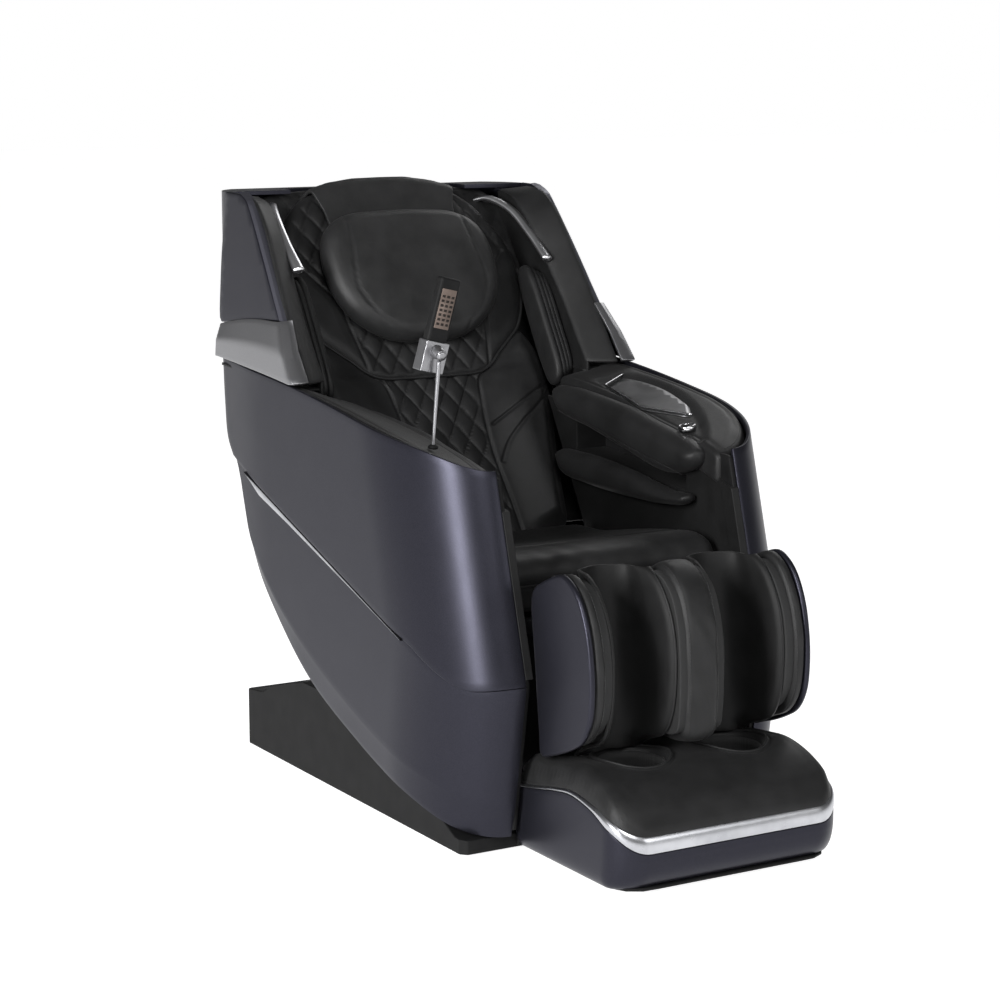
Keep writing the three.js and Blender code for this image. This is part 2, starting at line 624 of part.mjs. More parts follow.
function footRoller() {
  const { y, z, radius, halfLength } = FOOT_ROLLER;
  const barrel = crossBar(-halfLength, halfLength, y, z, radius, 20);
  const bumps = [-130, -78, 78, 130].map((x) => crossBar(x - 10, x + 10, y, z, radius + 4, 20));
  return cut(join(barrel, ...bumps), crossBar(-halfLength - 1, halfLength + 1, y, z, 5.6, 12));
}
place(chair, 'foot_roller', footRoller(), rollerPlastic());

// ---- Base ---------------------------------------------------------------------------------
function baseFrame() {
  const rails = [-1, 1].map((sign) => {
    const xs = [sign * 282, sign * 306].sort((a, b) => a - b);
    const sled = [sign * 262, sign * 286].sort((a, b) => a - b);
    return join(box(...xs, -235, 558, 22, 60), box(...sled, -308, -200, 9, 22.5));
  });
  const bars = [-235, 300, 470].map((y) => box(-300, 300, y, y + 30, 22, 50));
  const feet = [-1, 1].flatMap((sign) => [-290, 90, 470].map((y) => {
    const foot = new THREE.CylinderGeometry(18, 20, y < 0 ? 10 : 23, 20);
    return foot.rotateX(Math.PI / 2).translate(sign * (y < 0 ? 274 : 292), y, y < 0 ? 5 : 11.5);
  }));
  const axles = [-1, 1].map((sign) => {
    const xs = [sign * 196, sign * 272].sort((a, b) => a - b);
    return crossBar(...xs, WHEEL.y, WHEEL.z, 6, 12);
  });
  const axleBlocks = [-1, 1].map((sign) => {
    const xs = [sign * 258, sign * 284].sort((a, b) => a - b);
    return box(...xs, WHEEL.y - 14, WHEEL.y + 14, 22, 46);
  });
  return join(...rails, ...bars, ...feet, ...axles, ...axleBlocks);
}
place(chair, 'base_frame', baseFrame(), steel());

// Plan of the base cover: its front corners turn in under the rounded side panels.
function basePlan(inset) {
  const halfWidth = BASE_HALF_WIDTH - inset;
  const rightSide = [
    [halfWidth, 540], [halfWidth, -338], [halfWidth - 12, -350 + inset],
  ];
  const rear = BASE_REAR - inset;
  return polygon([[300, rear], ...rightSide, ...rightSide.slice().reverse().map(([x, y]) => [-x, y]),
    [-300, rear]]);
}

function baseVolume(inset) {
  const profile = polygon([
    [BASE_REAR + 1, 4], [BASE_REAR + 1, 92], [545, 120 - inset], [470, 128 - inset],
    [436, 147 - inset], [343, 174 - inset], [284, 188 - inset], [-150, 188 - inset],
    [-240, 70 - inset], [-320, 34 - inset], [-351, 30 - inset], [-351, 4],
  ]);
  return common(planSlab(basePlan(inset), 4 - inset, 200), sideSlab(profile, -350, 350));
}

const SWITCH = { x: 200, z: 66, halfWidth: 14, halfHeight: 10 };

function baseCover() {
  const inner = join(baseVolume(7), box(-330, 330, -320, 555, 0, 20));
  const slot = box(-278, 278, -352, 452, 36, 210);
  const innerSlot = box(-312, 312, -352, 300, 110, 210);
  const switchHole = box(SWITCH.x - SWITCH.halfWidth - 1, SWITCH.x + SWITCH.halfWidth + 1, 560, 580,
    SWITCH.z - SWITCH.halfHeight - 1, SWITCH.z + SWITCH.halfHeight + 1);
  const inletHole = box(140, 168, 560, 580, 54, 78);
  return cut(baseVolume(0), inner, slot, innerSlot, switchHole, inletHole);
}
place(chair, 'base_cover', baseCover(), blackPlastic());

place(chair, 'power_switch', box(SWITCH.x - SWITCH.halfWidth, SWITCH.x + SWITCH.halfWidth, 569, 578,
  SWITCH.z - SWITCH.halfHeight, SWITCH.z + SWITCH.halfHeight), rubber());

for (const [side, sign] of [['left', 1], ['right', -1]]) {
  const xs = [sign * 216, sign * 248].sort((a, b) => a - b);
  const wheel = cut(crossBar(...xs, WHEEL.y, WHEEL.z, WHEEL.radius, 28),
    crossBar(xs[0] - 1, xs[1] + 1, WHEEL.y, WHEEL.z, 6.6));
  place(chair, `${side}_transport_wheel`, wheel, rubber());
}

// Carriage that slides along the base and carries the seat pivot.
function carriage() {
  const pieces = [];
  for (const sign of [-1, 1]) {
    const span = (near, far) => [sign * near, sign * far].sort((a, b) => a - b);
    pieces.push(box(...span(244, 272), -180, 300, 66, 100));
    const tower = sideSlab(polygon([[70, 90], [118, 300], [182, 300], [240, 90]]),
      ...span(230, 246));
    pieces.push(tower);
    pieces.push(crossBar(...span(230, 246), SEAT_PIVOT.y, SEAT_PIVOT.z, 32));
    pieces.push(crossBar(...span(212, 240), SEAT_PIVOT.y, SEAT_PIVOT.z, 9));
    pieces.push(box(...span(262, 300), -95, -55, 63, 80));
    pieces.push(box(...span(262, 300), 250, 290, 63, 80));
  }
  pieces.push(box(-260, 260, -180, -150, 66, 96));
  pieces.push(box(-260, 260, 240, 270, 66, 96));
  return join(...pieces);
}
place(chair, 'slide_carriage', carriage(), steel());

// ---- Actuators ----------------------------------------------------------------------------

// Telescoping pair between two pivots in the chair's middle plane; the far eye is left open.
function actuator(prefix, { from, to, retract }, bodyRadius, rodRadius, overlap) {
  const x = 0;
  const start = new THREE.Vector3(x, from.y, from.z);
  const end = new THREE.Vector3(x, to.y, to.z);
  const along = end.clone().sub(start).normalize();
  const at = (distance) => start.clone().addScaledVector(along, distance).toArray();
  const length = end.distanceTo(start);
  const tubeLength = length - overlap;
  const tube = join(rod(at(-12), at(tubeLength), bodyRadius),
    rod([x - 16, from.y, from.z], [x + 16, from.y, from.z], 13));
  const bore = rod(at(30), at(tubeLength + 5), rodRadius + 0.8);
  const pinBore = rod([x - 30, from.y, from.z], [x + 30, from.y, from.z], 6.6);
  const slotForLug = box(x - 8.8, x + 8.8, from.y - 27, from.y + 27, from.z - 27, from.z + 34);
  place(chair, `${prefix}_actuator_housing`, cut(tube, bore, pinBore, slotForLug), blackPlastic());
  place(chair, `${prefix}_actuator_rod`, rod(at(32 + retract), at(length), rodRadius), steel());
}
actuator('legrest', LEGREST_ACTUATOR, 15, 8, 80);
actuator('recline', RECLINE_ACTUATOR, 15, 8, 80);

// ---- Controls -----------------------------------------------------------------------------
const STAND = { x: -310, y: -184, z: 722, topX: -304, topY: -197, topZ: 874 };
place(chair, 'remote_stand', join(
  rod([STAND.x, STAND.y, STAND.z], [STAND.topX, STAND.topY, STAND.topZ], 5.5),
  rod([STAND.x, STAND.y, STAND.z - 1], [STAND.x, STAND.y - 1.5, STAND.z + 8], 13, 20)), silverSatin());

const clampGroup = new THREE.Group();
clampGroup.position.set(STAND.topX - 4, STAND.topY + 26, STAND.topZ + 1);
clampGroup.rotation.set(0.06, 0.24, 0.1);
chair.add(clampGroup);
place(clampGroup, 'remote_clamp', join(
  cut(box(-25, 25, -14, 12, -22, 34), box(-22.5, 22.5, -10.5, 20, 1, 40)),
  rod([0, -12, 16], [0, -34, 13], 10, 20)), silverSatin());
place(clampGroup, 'remote_handset', box(-22, 22, -10, 9, 1.5, 150), blackPlastic());

place(chair, 'control_knob', rod([KNOB.x, KNOB.y, KNOB.z], [KNOB.x, KNOB.y, KNOB.z + 10], 16, 28),
  silverSatin());

export default chair;
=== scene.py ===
"""Looks of the massage chair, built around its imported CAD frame. Lengths below are in
millimetres and are scaled to metres when a mesh is made."""
import math

import bmesh
import bpy
import numpy as np
from mathutils import Euler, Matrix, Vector
from mathutils.geometry import delaunay_2d_cdt


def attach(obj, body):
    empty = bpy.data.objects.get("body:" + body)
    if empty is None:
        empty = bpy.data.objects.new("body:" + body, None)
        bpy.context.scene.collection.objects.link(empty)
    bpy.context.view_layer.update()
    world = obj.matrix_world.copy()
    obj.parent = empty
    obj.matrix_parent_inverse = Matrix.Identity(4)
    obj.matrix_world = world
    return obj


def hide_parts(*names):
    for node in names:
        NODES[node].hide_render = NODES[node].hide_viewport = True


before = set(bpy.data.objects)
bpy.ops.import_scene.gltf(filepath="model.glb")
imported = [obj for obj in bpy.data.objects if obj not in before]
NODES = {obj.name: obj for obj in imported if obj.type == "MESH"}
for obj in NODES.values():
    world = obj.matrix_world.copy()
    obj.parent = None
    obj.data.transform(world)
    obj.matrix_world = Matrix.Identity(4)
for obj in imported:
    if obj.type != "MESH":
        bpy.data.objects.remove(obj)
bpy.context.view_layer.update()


MM = 0.001
SIDES = (("left", 1), ("right", -1))

# ---- Dimensions shared with the frame -------------------------------------------------------
HALF_WIDTH = 392
PANEL_EDGE_X = 256
PANEL_ROUND_DEPTH = 255
LOWER_STEP = 6
PANEL_SKIN = 8
BACK_ORIGIN = np.array([0.0, 379.0, 768.0])
BACK_TILT = math.radians(31.3)
BACK_UP = np.array([0.0, math.sin(BACK_TILT), math.cos(BACK_TILT)])
BACK_REAR = np.array([0.0, math.cos(BACK_TILT), -math.sin(BACK_TILT)])
ARM_TILT = 0.18


# ---- Curves ---------------------------------------------------------------------------------
def catmull(points, count, closed=False):
    """Evenly spaced points along a centripetal Catmull-Rom curve through the given points."""
    pts = np.asarray(points, float)
    if closed:
        pts = np.vstack([pts[-1], pts, pts[0], pts[1]])
    else:
        pts = np.vstack([2 * pts[0] - pts[1], pts, 2 * pts[-1] - pts[-2]])
    dense = []
    for i in range(1, len(pts) - 2):
        p0, p1, p2, p3 = pts[i - 1:i + 3]
        t1 = max(np.linalg.norm(p1 - p0), 1e-9) ** 0.5
        t2 = t1 + max(np.linalg.norm(p2 - p1), 1e-9) ** 0.5
        t3 = t2 + max(np.linalg.norm(p3 - p2), 1e-9) ** 0.5
        t = np.linspace(t1, t2, 24, endpoint=False)[:, None]
        a1 = (t1 - t) / t1 * p0 + t / t1 * p1
        a2 = (t2 - t) / (t2 - t1) * p1 + (t - t1) / (t2 - t1) * p2
        a3 = (t3 - t) / (t3 - t2) * p2 + (t - t2) / (t3 - t2) * p3
        b1 = (t2 - t) / t2 * a1 + t / t2 * a2
        b2 = (t3 - t) / (t3 - t1) * a2 + (t - t1) / (t3 - t1) * a3
        dense.append((t2 - t) / (t2 - t1) * b1 + (t - t1) / (t2 - t1) * b2)
    dense.append(pts[-2][None, :])
    return resample(np.vstack(dense), count, closed)


def resample(line, count, closed=False):
    """Evenly spaced points along a polyline; a closed one doesn't repeat its first point."""
    line = np.asarray(line, float)
    step = np.linalg.norm(np.diff(line, axis=0), axis=1)
    along = np.concatenate([[0], np.cumsum(step)])
    at = np.linspace(0, along[-1], count + 1)[:-1] if closed else np.linspace(0, along[-1], count)
    return np.stack([np.interp(at, along, line[:, k]) for k in range(line.shape[1])], axis=1)


def outline_length(outline):
    return np.linalg.norm(np.diff(np.vstack([outline, outline[:1]]), axis=0), axis=1).sum()


def profile(points):
    """Smooth single-valued curve through (a, b) points, as a function of a."""
    pts = np.array(sorted(points), float)
    line = catmull(pts, 400)
    order = np.argsort(line[:, 0])
    return lambda a: np.interp(a, line[order, 0], line[order, 1])


def outward_normals(line, closed=False):
    """Unit normals of a 2-D line, pointing away from its middle."""
    if closed:
        tangent = np.roll(line, -1, axis=0) - np.roll(line, 1, axis=0)
    else:
        tangent = np.gradient(line, axis=0)
    normal = np.column_stack([tangent[:, 1], -tangent[:, 0]])
    normal /= np.linalg.norm(normal, axis=1)[:, None]
    return normal if ((line - line.mean(axis=0)) * normal).sum() >= 0 else -normal


def mirrored(half):
    """Closed outline from its right half, which starts and ends on the middle line."""
    return half + [(-x, s) for x, s in half[-2:0:-1]]


def smoothstep(lo, hi, value):
    t = np.clip((value - lo) / (hi - lo), 0, 1)
    return t * t * (3 - 2 * t)


# ---- Mesh helpers ---------------------------------------------------------------------------
def mesh_object(name, verts, faces, smooth=True):
    mesh = bpy.data.meshes.new(name)
    mesh.from_pydata([tuple(v) for v in np.asarray(verts, float) * MM], [], faces)
    mesh.update()
    obj = bpy.data.objects.new(name, mesh)
    bpy.context.scene.collection.objects.link(obj)
    tidy(obj)
    mesh.polygons.foreach_set("use_smooth", [smooth] * len(mesh.polygons))
    return obj


def tidy(obj, merge=1e-5):
    bm = bmesh.new()
    bm.from_mesh(obj.data)
    bmesh.ops.remove_doubles(bm, verts=bm.verts, dist=merge)
    bmesh.ops.dissolve_degenerate(bm, edges=bm.edges, dist=1e-6)
    bmesh.ops.recalc_face_normals(bm, faces=bm.faces)
    bm.to_mesh(obj.data)
    bm.free()


def grid_faces(rows, cols, wrap_cols=False, wrap_rows=False, start=0):
    faces = []
    for i in range(rows if wrap_rows else rows - 1):
        for j in range(cols if wrap_cols else cols - 1):
            i2 = (i + 1) % rows
            j2 = (j + 1) % cols
            faces.append((start + i * cols + j, start + i * cols + j2,
                          start + i2 * cols + j2, start + i2 * cols + j))
    return faces


def grid_object(name, points, **wrap):
    rows, cols = points.shape[:2]
    return mesh_object(name, points.reshape(-1, 3), grid_faces(rows, cols, **wrap))


def add_solidify(obj, thickness, offset=-1):
    mod = obj.modifiers.new("thickness", "SOLIDIFY")
    mod.thickness = thickness * MM
    mod.offset = offset
    return obj


def add_bevel(obj, width, segments=2, angle=35):
    mod = obj.modifiers.new("edges", "BEVEL")
    mod.width = width * MM
    mod.segments = segments
    mod.limit_method = "ANGLE"
    mod.angle_limit = math.radians(angle)
    mod.harden_normals = False
    return obj


def edge_distance(points, outline):
    """Shortest distance of each 2-D point to a closed outline."""
    best = np.full(len(points), 1e9)
    for a, b in zip(outline, np.roll(outline, -1, axis=0)):
        ab = b - a
        t = np.clip(((points - a) @ ab) / max(ab @ ab, 1e-12), 0, 1)
        best = np.minimum(best, np.linalg.norm(points - (a + t[:, None] * ab), axis=1))
    return best


def inside(points, outline):
    x, y = points[:, 0], points[:, 1]
    hit = np.zeros(len(points), bool)
    for (x0, y0), (x1, y1) in zip(outline, np.roll(outline, -1, axis=0)):
        cross = (y0 > y) != (y1 > y)
        with np.errstate(divide="ignore", invalid="ignore"):
            hit ^= cross & (x < (x1 - x0) * (y - y0) / (y1 - y0) + x0)
    return hit


# Planes that outlines are drawn in: (a, b, h) to a point, with h along the plane's normal.
def back_plane(sign=1):
    """a across, b up the back, h towards the sitter."""
    return lambda a, b, h: (BACK_ORIGIN + np.outer(b, BACK_UP) - np.outer(h, BACK_REAR)
                            + np.outer(sign * np.asarray(a), [1, 0, 0]))


def side_plane(sign=1):
    """a is y, b is z and h is the distance from the middle plane."""
    return lambda a, b, h: np.stack([sign * np.asarray(h), np.asarray(a), np.asarray(b)], axis=1)


def plan_plane(sign=1):
    """a is x, b is y and h is the height."""
    return lambda a, b, h: np.column_stack([sign * np.asarray(a), b, h])


def front_plane(sign=1):
    """a is x, b is the height and h is y."""
    return lambda a, b, h: np.column_stack([sign * np.asarray(a), h, b])


def back_side_plane(sign=1):
    """a is the depth behind the back plane, b runs up it, h is x."""
    return lambda a, b, h: (BACK_ORIGIN + np.outer(b, BACK_UP) + np.outer(a, BACK_REAR)
                            + np.outer(sign * np.asarray(h), [1, 0, 0]))


def turned(plane, low, high):
    """The same plane with its high face on the low side, so that a pad's front faces the seat."""
    return lambda a, b, h: plane(a, b, low + high - np.asarray(h))


def pad(name, outline, plane, low, high, radius=12, crown=0, low_crown=0, relief=None,
        spacing=6, warp=None):
    """Closed cushion on an outline: two faces rounded off towards the outline, crowned in the
    middle, with an optional relief(a, b, distance to edge) added to the high face."""
    count = max(48, int(outline_length(outline) / spacing))
    edge = catmull(outline, count, closed=True)
    centre = edge.mean(axis=0)
    reach = np.linalg.norm(edge - centre, axis=1).mean()
    rings = max(10, int(reach / spacing))
    share = 1 - np.linspace(0, 1, rings + 1)
    near_edge = np.array([0.25, 0.5, 0.75]) / rings
    share = np.unique(np.concatenate([share, 1 - near_edge, 1 - near_edge[:1] / 3]))[::-1]
    share = share[share > 1e-6]
    flat = (centre + share[:, None, None] * (edge - centre)[None]).reshape(-1, 2)
    distance = edge_distance(flat, edge)
    distance[:count] = 0
    deepest = distance.max()
    radius = min(radius, (high - low) / 2)
    rounding = radius * (1 - np.sqrt(np.clip(1 - (1 - np.clip(distance / radius, 0, 1)) ** 2, 0, 1)))
    dome = 1 - (1 - np.clip(distance / deepest, 0, 1)) ** 2
    upper = high - rounding + crown * dome
    lower = low + rounding - low_crown * dome
    if relief:
        upper = upper + relief(flat[:, 0], flat[:, 1], distance)
    spread = len(share)
    centre_upper = upper.reshape(spread, count)[-1].mean()
    centre_lower = lower.reshape(spread, count)[-1].mean()
    verts = np.vstack([plane(flat[:, 0], flat[:, 1], upper), plane(flat[:, 0], flat[:, 1], lower),
                       plane([centre[0]], [centre[1]], [centre_upper]),
                       plane([centre[0]], [centre[1]], [centre_lower])])
    total = spread * count
    faces = grid_faces(spread, count, wrap_cols=True)
    faces += [tuple(reversed(f)) for f in grid_faces(spread, count, wrap_cols=True, start=total)]
    for j in range(count):
        k = (j + 1) % count
        faces.append((j, total + j, total + k, k))
        faces.append(((spread - 1) * count + k, 2 * total, (spread - 1) * count + j))
        faces.append((total + (spread - 1) * count + j, 2 * total + 1,
                      total + (spread - 1) * count + k))
    if warp:
        verts = warp(verts)
    return mesh_object(name, verts, faces)


def sweep(name, path, radius, closed=False, sides=10, flatten=1.0, taper=None):
    """Tube along a path; flatten squeezes its section along the path's second normal."""
    path = np.asarray(path, float)
    count = len(path)
    if closed:
        tangent = np.roll(path, -1, axis=0) - np.roll(path, 1, axis=0)
    else:
        tangent = np.gradient(path, axis=0)
    tangent /= np.linalg.norm(tangent, axis=1)[:, None]
    up = np.array([0.0, 0.0, 1.0]) if abs(tangent[0][2]) < 0.9 else np.array([0.0, 1.0, 0.0])
    normal = np.cross(tangent[0], up)
    rings = []
    for k in range(count):
        normal = normal - tangent[k] * (normal @ tangent[k])
        normal /= np.linalg.norm(normal)
        other = np.cross(tangent[k], normal)
        size = radius * (taper(k / (count - 1)) if taper else 1)
        angles = np.linspace(0, 2 * math.pi, sides, endpoint=False)
        rings.append(path[k] + size * (np.outer(np.cos(angles), normal)
                                       + flatten * np.outer(np.sin(angles), other)))
    verts = np.array(rings).reshape(-1, 3)
    faces = grid_faces(count, sides, wrap_cols=True, wrap_rows=closed)
    if not closed:
        faces.append(tuple(range(sides)))
        faces.append(tuple(reversed(range((count - 1) * sides, count * sides))))
    return mesh_object(name, verts, faces)


def stitch_row(name, path, length=4.2, gap=2.2, radius=0.55):
    """Row of raised threads along a path."""
    path = np.asarray(path, float)
    step = np.linalg.norm(np.diff(path, axis=0), axis=1)
    along = np.concatenate([[0], np.cumsum(step)])
    verts, faces = [], []
    start = gap
    while start + length < along[-1]:
        ends = [np.array([np.interp(start + t, along, path[:, k]) for k in range(3)])
                for t in (0, length)]
        axis = ends[1] - ends[0]
        axis /= np.linalg.norm(axis)
        side = np.cross(axis, [0.31, 0.48, 0.82])
        side /= np.linalg.norm(side)
        other = np.cross(axis, side)
        base = len(verts)
        for spot, size in ((0, 0.4), (0.25, 1.0), (0.75, 1.0), (1, 0.4)):
            middle = ends[0] + (ends[1] - ends[0]) * spot
            for corner in range(5):
                angle = corner * 2 * math.pi / 5
                verts.append(middle + radius * size * (math.cos(angle) * side
                                                       + math.sin(angle) * other))
        for ring in range(3):
            for corner in range(5):
                nxt = (corner + 1) % 5
                faces.append((base + ring * 5 + corner, base + ring * 5 + nxt,
                              base + ring * 5 + 5 + nxt, base + ring * 5 + 5 + corner))
        faces.append(tuple(base + k for k in range(5)))
        faces.append(tuple(base + 15 + k for k in reversed(range(5))))
        start += length + gap
    return mesh_object(name, verts, faces)


def refined(node, name, bevel=1.5, segments=2, angle=30):
    """Copy of a CAD node with softened edges."""
    source = NODES[node]
    obj = bpy.data.objects.new(name, source.data.copy())
    obj.matrix_world = source.matrix_world.copy()
    obj.data.materials.clear()
    bpy.context.scene.collection.objects.link(obj)
    bm = bmesh.new()
    bm.from_mesh(obj.data)
    bmesh.ops.remove_doubles(bm, verts=bm.verts, dist=1e-5)
    bmesh.ops.dissolve_limit(bm, angle_limit=math.radians(1.0), verts=bm.verts, edges=bm.edges)
    bmesh.ops.recalc_face_normals(bm, faces=bm.faces)
    bm.to_mesh(obj.data)
    bm.free()
    obj.data.polygons.foreach_set("use_smooth", [True] * len(obj.data.polygons))
    obj.data.set_sharp_from_angle(angle=math.radians(35))
    return add_bevel(obj, bevel, segments, angle)


# ---- Materials ------------------------------------------------------------------------------
def new_material(name):
    material = bpy.data.materials.new(name)
    material.use_nodes = True
    nodes = material.node_tree.nodes
    nodes.clear()
    output = nodes.new("ShaderNodeOutputMaterial")
    shader = nodes.new("ShaderNodeBsdfPrincipled")
    material.node_tree.links.new(shader.outputs["BSDF"], output.inputs["Surface"])
    return material, nodes, material.node_tree.links, shader


def noise(nodes, links, coords, scale, detail=4, roughness=0.55):
    texture = nodes.new("ShaderNodeTexNoise")
    texture.inputs["Scale"].default_value = scale
    texture.inputs["Detail"].default_value = detail
    texture.inputs["Roughness"].default_value = roughness
    links.new(coords, texture.inputs["Vector"])
    return texture.outputs["Fac"]


def ramp(nodes, links, value, stops):
    node = nodes.new("ShaderNodeValToRGB")
    while len(node.color_ramp.elements) < len(stops):
        node.color_ramp.elements.new(0.5)
    for element, (place, color) in zip(node.color_ramp.elements, stops):
        element.position = place
        element.color = (*color, 1) if len(color) == 3 else color
    links.new(value, node.inputs["Fac"])
    return node.outputs["Color"]


def spread(nodes, links, value, low, high):
    node = nodes.new("ShaderNodeMapRange")
    node.inputs["To Min"].default_value = low
    node.inputs["To Max"].default_value = high
    links.new(value, node.inputs["Value"])
    return node.outputs["Result"]


def object_coords(nodes):
    return nodes.new("ShaderNodeTexCoord").outputs["Object"]


def bump(nodes, links, shader, height, strength, distance):
    node = nodes.new("ShaderNodeBump")
    node.inputs["Strength"].default_value = strength
    node.inputs["Distance"].default_value = distance
    links.new(height, node.inputs["Height"])
    links.new(node.outputs["Normal"], shader.inputs["Normal"])
    return node


def painted_metal(name, dark, light, roughness, metallic, coat):
    """Metallic paint: fine flakes in the colour, a slight orange-peel surface, clear coat."""
    material, nodes, links, shader = new_material(name)
    coords = object_coords(nodes)
    flakes = noise(nodes, links, coords, 1800, 2)
    links.new(ramp(nodes, links, flakes, [(0.35, dark), (0.68, light)]),
              shader.inputs["Base Color"])
    wear = noise(nodes, links, coords, 14, 5)
    links.new(spread(nodes, links, wear, roughness - 0.04, roughness + 0.05),
              shader.inputs["Roughness"])
    bump(nodes, links, shader, noise(nodes, links, coords, 240, 2), 0.03, 0.0004)
    shader.inputs["Metallic"].default_value = metallic
    shader.inputs["Coat Weight"].default_value = coat
    shader.inputs["Coat Roughness"].default_value = 0.12
    shader.inputs["Specular IOR Level"].default_value = 0.02
    return material


def leather(name, dark, light, roughness=0.46, grain=900):
    """Grained leather: pebbles from cells, creases from warped noise, uneven sheen."""
    material, nodes, links, shader = new_material(name)
    coords = object_coords(nodes)
    cells = nodes.new("ShaderNodeTexVoronoi")
    cells.feature = "DISTANCE_TO_EDGE"
    cells.inputs["Scale"].default_value = grain
    links.new(coords, cells.inputs["Vector"])
    patches = noise(nodes, links, coords, 22, 6)
    fine = noise(nodes, links, coords, 420, 4)
    links.new(ramp(nodes, links, patches, [(0.3, dark), (0.7, light)]),
              shader.inputs["Base Color"])
    links.new(spread(nodes, links, patches, roughness - 0.06, roughness + 0.08),
              shader.inputs["Roughness"])
    pebble = nodes.new("ShaderNodeMath")
    pebble.operation = "MULTIPLY_ADD"
    pebble.inputs[1].default_value = 2.2
    links.new(cells.outputs["Distance"], pebble.inputs[0])
    links.new(fine, pebble.inputs[2])
    bump(nodes, links, shader, pebble.outputs[0], 0.22, 0.0006)
    shader.inputs["Specular IOR Level"].default_value = 0.22
    shader.inputs["Sheen Weight"].default_value = 0.02
    shader.inputs["Sheen Roughness"].default_value = 0.45
    return material


def moulded(name, dark, light, roughness, texture=700, strength=0.12):
    """Moulded plastic or rubber with a fine spark-eroded texture."""
    material, nodes, links, shader = new_material(name)
    coords = object_coords(nodes)
    links.new(ramp(nodes, links, noise(nodes, links, coords, 30, 5), [(0.3, dark), (0.7, light)]),
              shader.inputs["Base Color"])
    links.new(spread(nodes, links, noise(nodes, links, coords, 60, 4), roughness - 0.06,
                     roughness + 0.06), shader.inputs["Roughness"])
    bump(nodes, links, shader, noise(nodes, links, coords, texture, 3), strength, 0.0003)
    shader.inputs["Specular IOR Level"].default_value = 0.10
    return material


def bright_metal(name, dark, light, roughness, brush=0.0):
    material, nodes, links, shader = new_material(name)
    coords = object_coords(nodes)
    tone = noise(nodes, links, coords, 18, 4)
    links.new(ramp(nodes, links, tone, [(0.35, dark), (0.65, light)]), shader.inputs["Base Color"])
    links.new(spread(nodes, links, noise(nodes, links, coords, 90, 5), roughness - 0.03,
                     roughness + 0.04), shader.inputs["Roughness"])
    bump(nodes, links, shader, noise(nodes, links, coords, 500, 3), 0.02 + brush, 0.0003)
    shader.inputs["Metallic"].default_value = 1.0
    return material


def weave_material(name):
    """Fine mesh cloth that lines the channels and vents."""
    material, nodes, links, shader = new_material(name)
    coords = object_coords(nodes)
    waves = []
    for direction in ("X", "Z"):
        wave = nodes.new("ShaderNodeTexWave")
        wave.bands_direction = direction
        wave.inputs["Scale"].default_value = 160
        links.new(coords, wave.inputs["Vector"])
        waves.append(wave.outputs["Fac"])
    both = nodes.new("ShaderNodeMath")
    both.operation = "MULTIPLY"
    links.new(waves[0], both.inputs[0])
    links.new(waves[1], both.inputs[1])
    links.new(ramp(nodes, links, both.outputs[0], [(0.1, (0.004, 0.004, 0.004)),
                                                   (0.8, (0.016, 0.016, 0.017))]),
              shader.inputs["Base Color"])
    bump(nodes, links, shader, both.outputs[0], 0.4, 0.0005)
    shader.inputs["Roughness"].default_value = 0.8
    return material


NAVY = painted_metal("navy_metallic_paint", (0.016, 0.016, 0.021), (0.036, 0.036, 0.047), 0.34,
                     0.75, 0.0)
# Lighter copy of the navy paint: a painted highlight for the wing's forward-facing front facet.
NAVY_PAINTED_HIGHLIGHT = painted_metal("navy_paint_painted_highlight", (0.065, 0.065, 0.080), (0.105, 0.105, 0.125), 0.34,
                           0.7, 0.0)
SILVER = painted_metal("silver_satin_paint", (0.20, 0.20, 0.21), (0.29, 0.29, 0.30), 0.30, 0.9,
                       0.2)
TRIM = bright_metal("bright_trim", (0.36, 0.365, 0.385), (0.46, 0.465, 0.485), 0.28)
CHROME = bright_metal("chrome", (0.55, 0.55, 0.57), (0.66, 0.66, 0.68), 0.16)
LEATHER = leather("black_leather", (0.008, 0.008, 0.0082), (0.013, 0.013, 0.0133))
LEATHER_SOFT = leather("pillow_leather", (0.012, 0.012, 0.0122), (0.019, 0.019, 0.0194), 0.42, 700)
# Darker copy of the black leather: painted shade for channels, linings and recessed walls.
LEATHER_PAINTED_SHADE = leather("leather_painted_shade", (0.004, 0.004, 0.004), (0.007, 0.007, 0.0072), 0.55)
THREAD = moulded("thread", (0.022, 0.022, 0.022), (0.05, 0.05, 0.05), 0.6, 1400, 0.3)
BLACK = moulded("black_plastic", (0.005, 0.005, 0.0052), (0.009, 0.009, 0.0092), 0.60)
RUBBER = moulded("rubber", (0.006, 0.006, 0.006), (0.012, 0.012, 0.012), 0.8, 900, 0.2)
STEEL = bright_metal("coated_steel", (0.12, 0.12, 0.13), (0.2, 0.2, 0.21), 0.42, 0.03)
ROLLER = moulded("roller_nylon", (0.20, 0.045, 0.03), (0.28, 0.06, 0.04), 0.4)
BAR = bright_metal("bar_satin", (0.70, 0.70, 0.72), (0.84, 0.84, 0.86), 0.32)
PLATE = bright_metal("tray_plate", (0.16, 0.16, 0.165), (0.22, 0.22, 0.225), 0.34)
MESH = weave_material("mesh_cloth")


def dress(obj, material, body, *replaced, padded=None):
    """Gives a piece its material and body, and hides the CAD nodes that it stands for."""
    obj.data.materials.clear()
    obj.data.materials.append(material)
    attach(obj, body)
    if replaced:
        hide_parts(*replaced)
    return obj


def paint_node(node, material):
    NODES[node].data.materials.clear()
    NODES[node].data.materials.append(material)


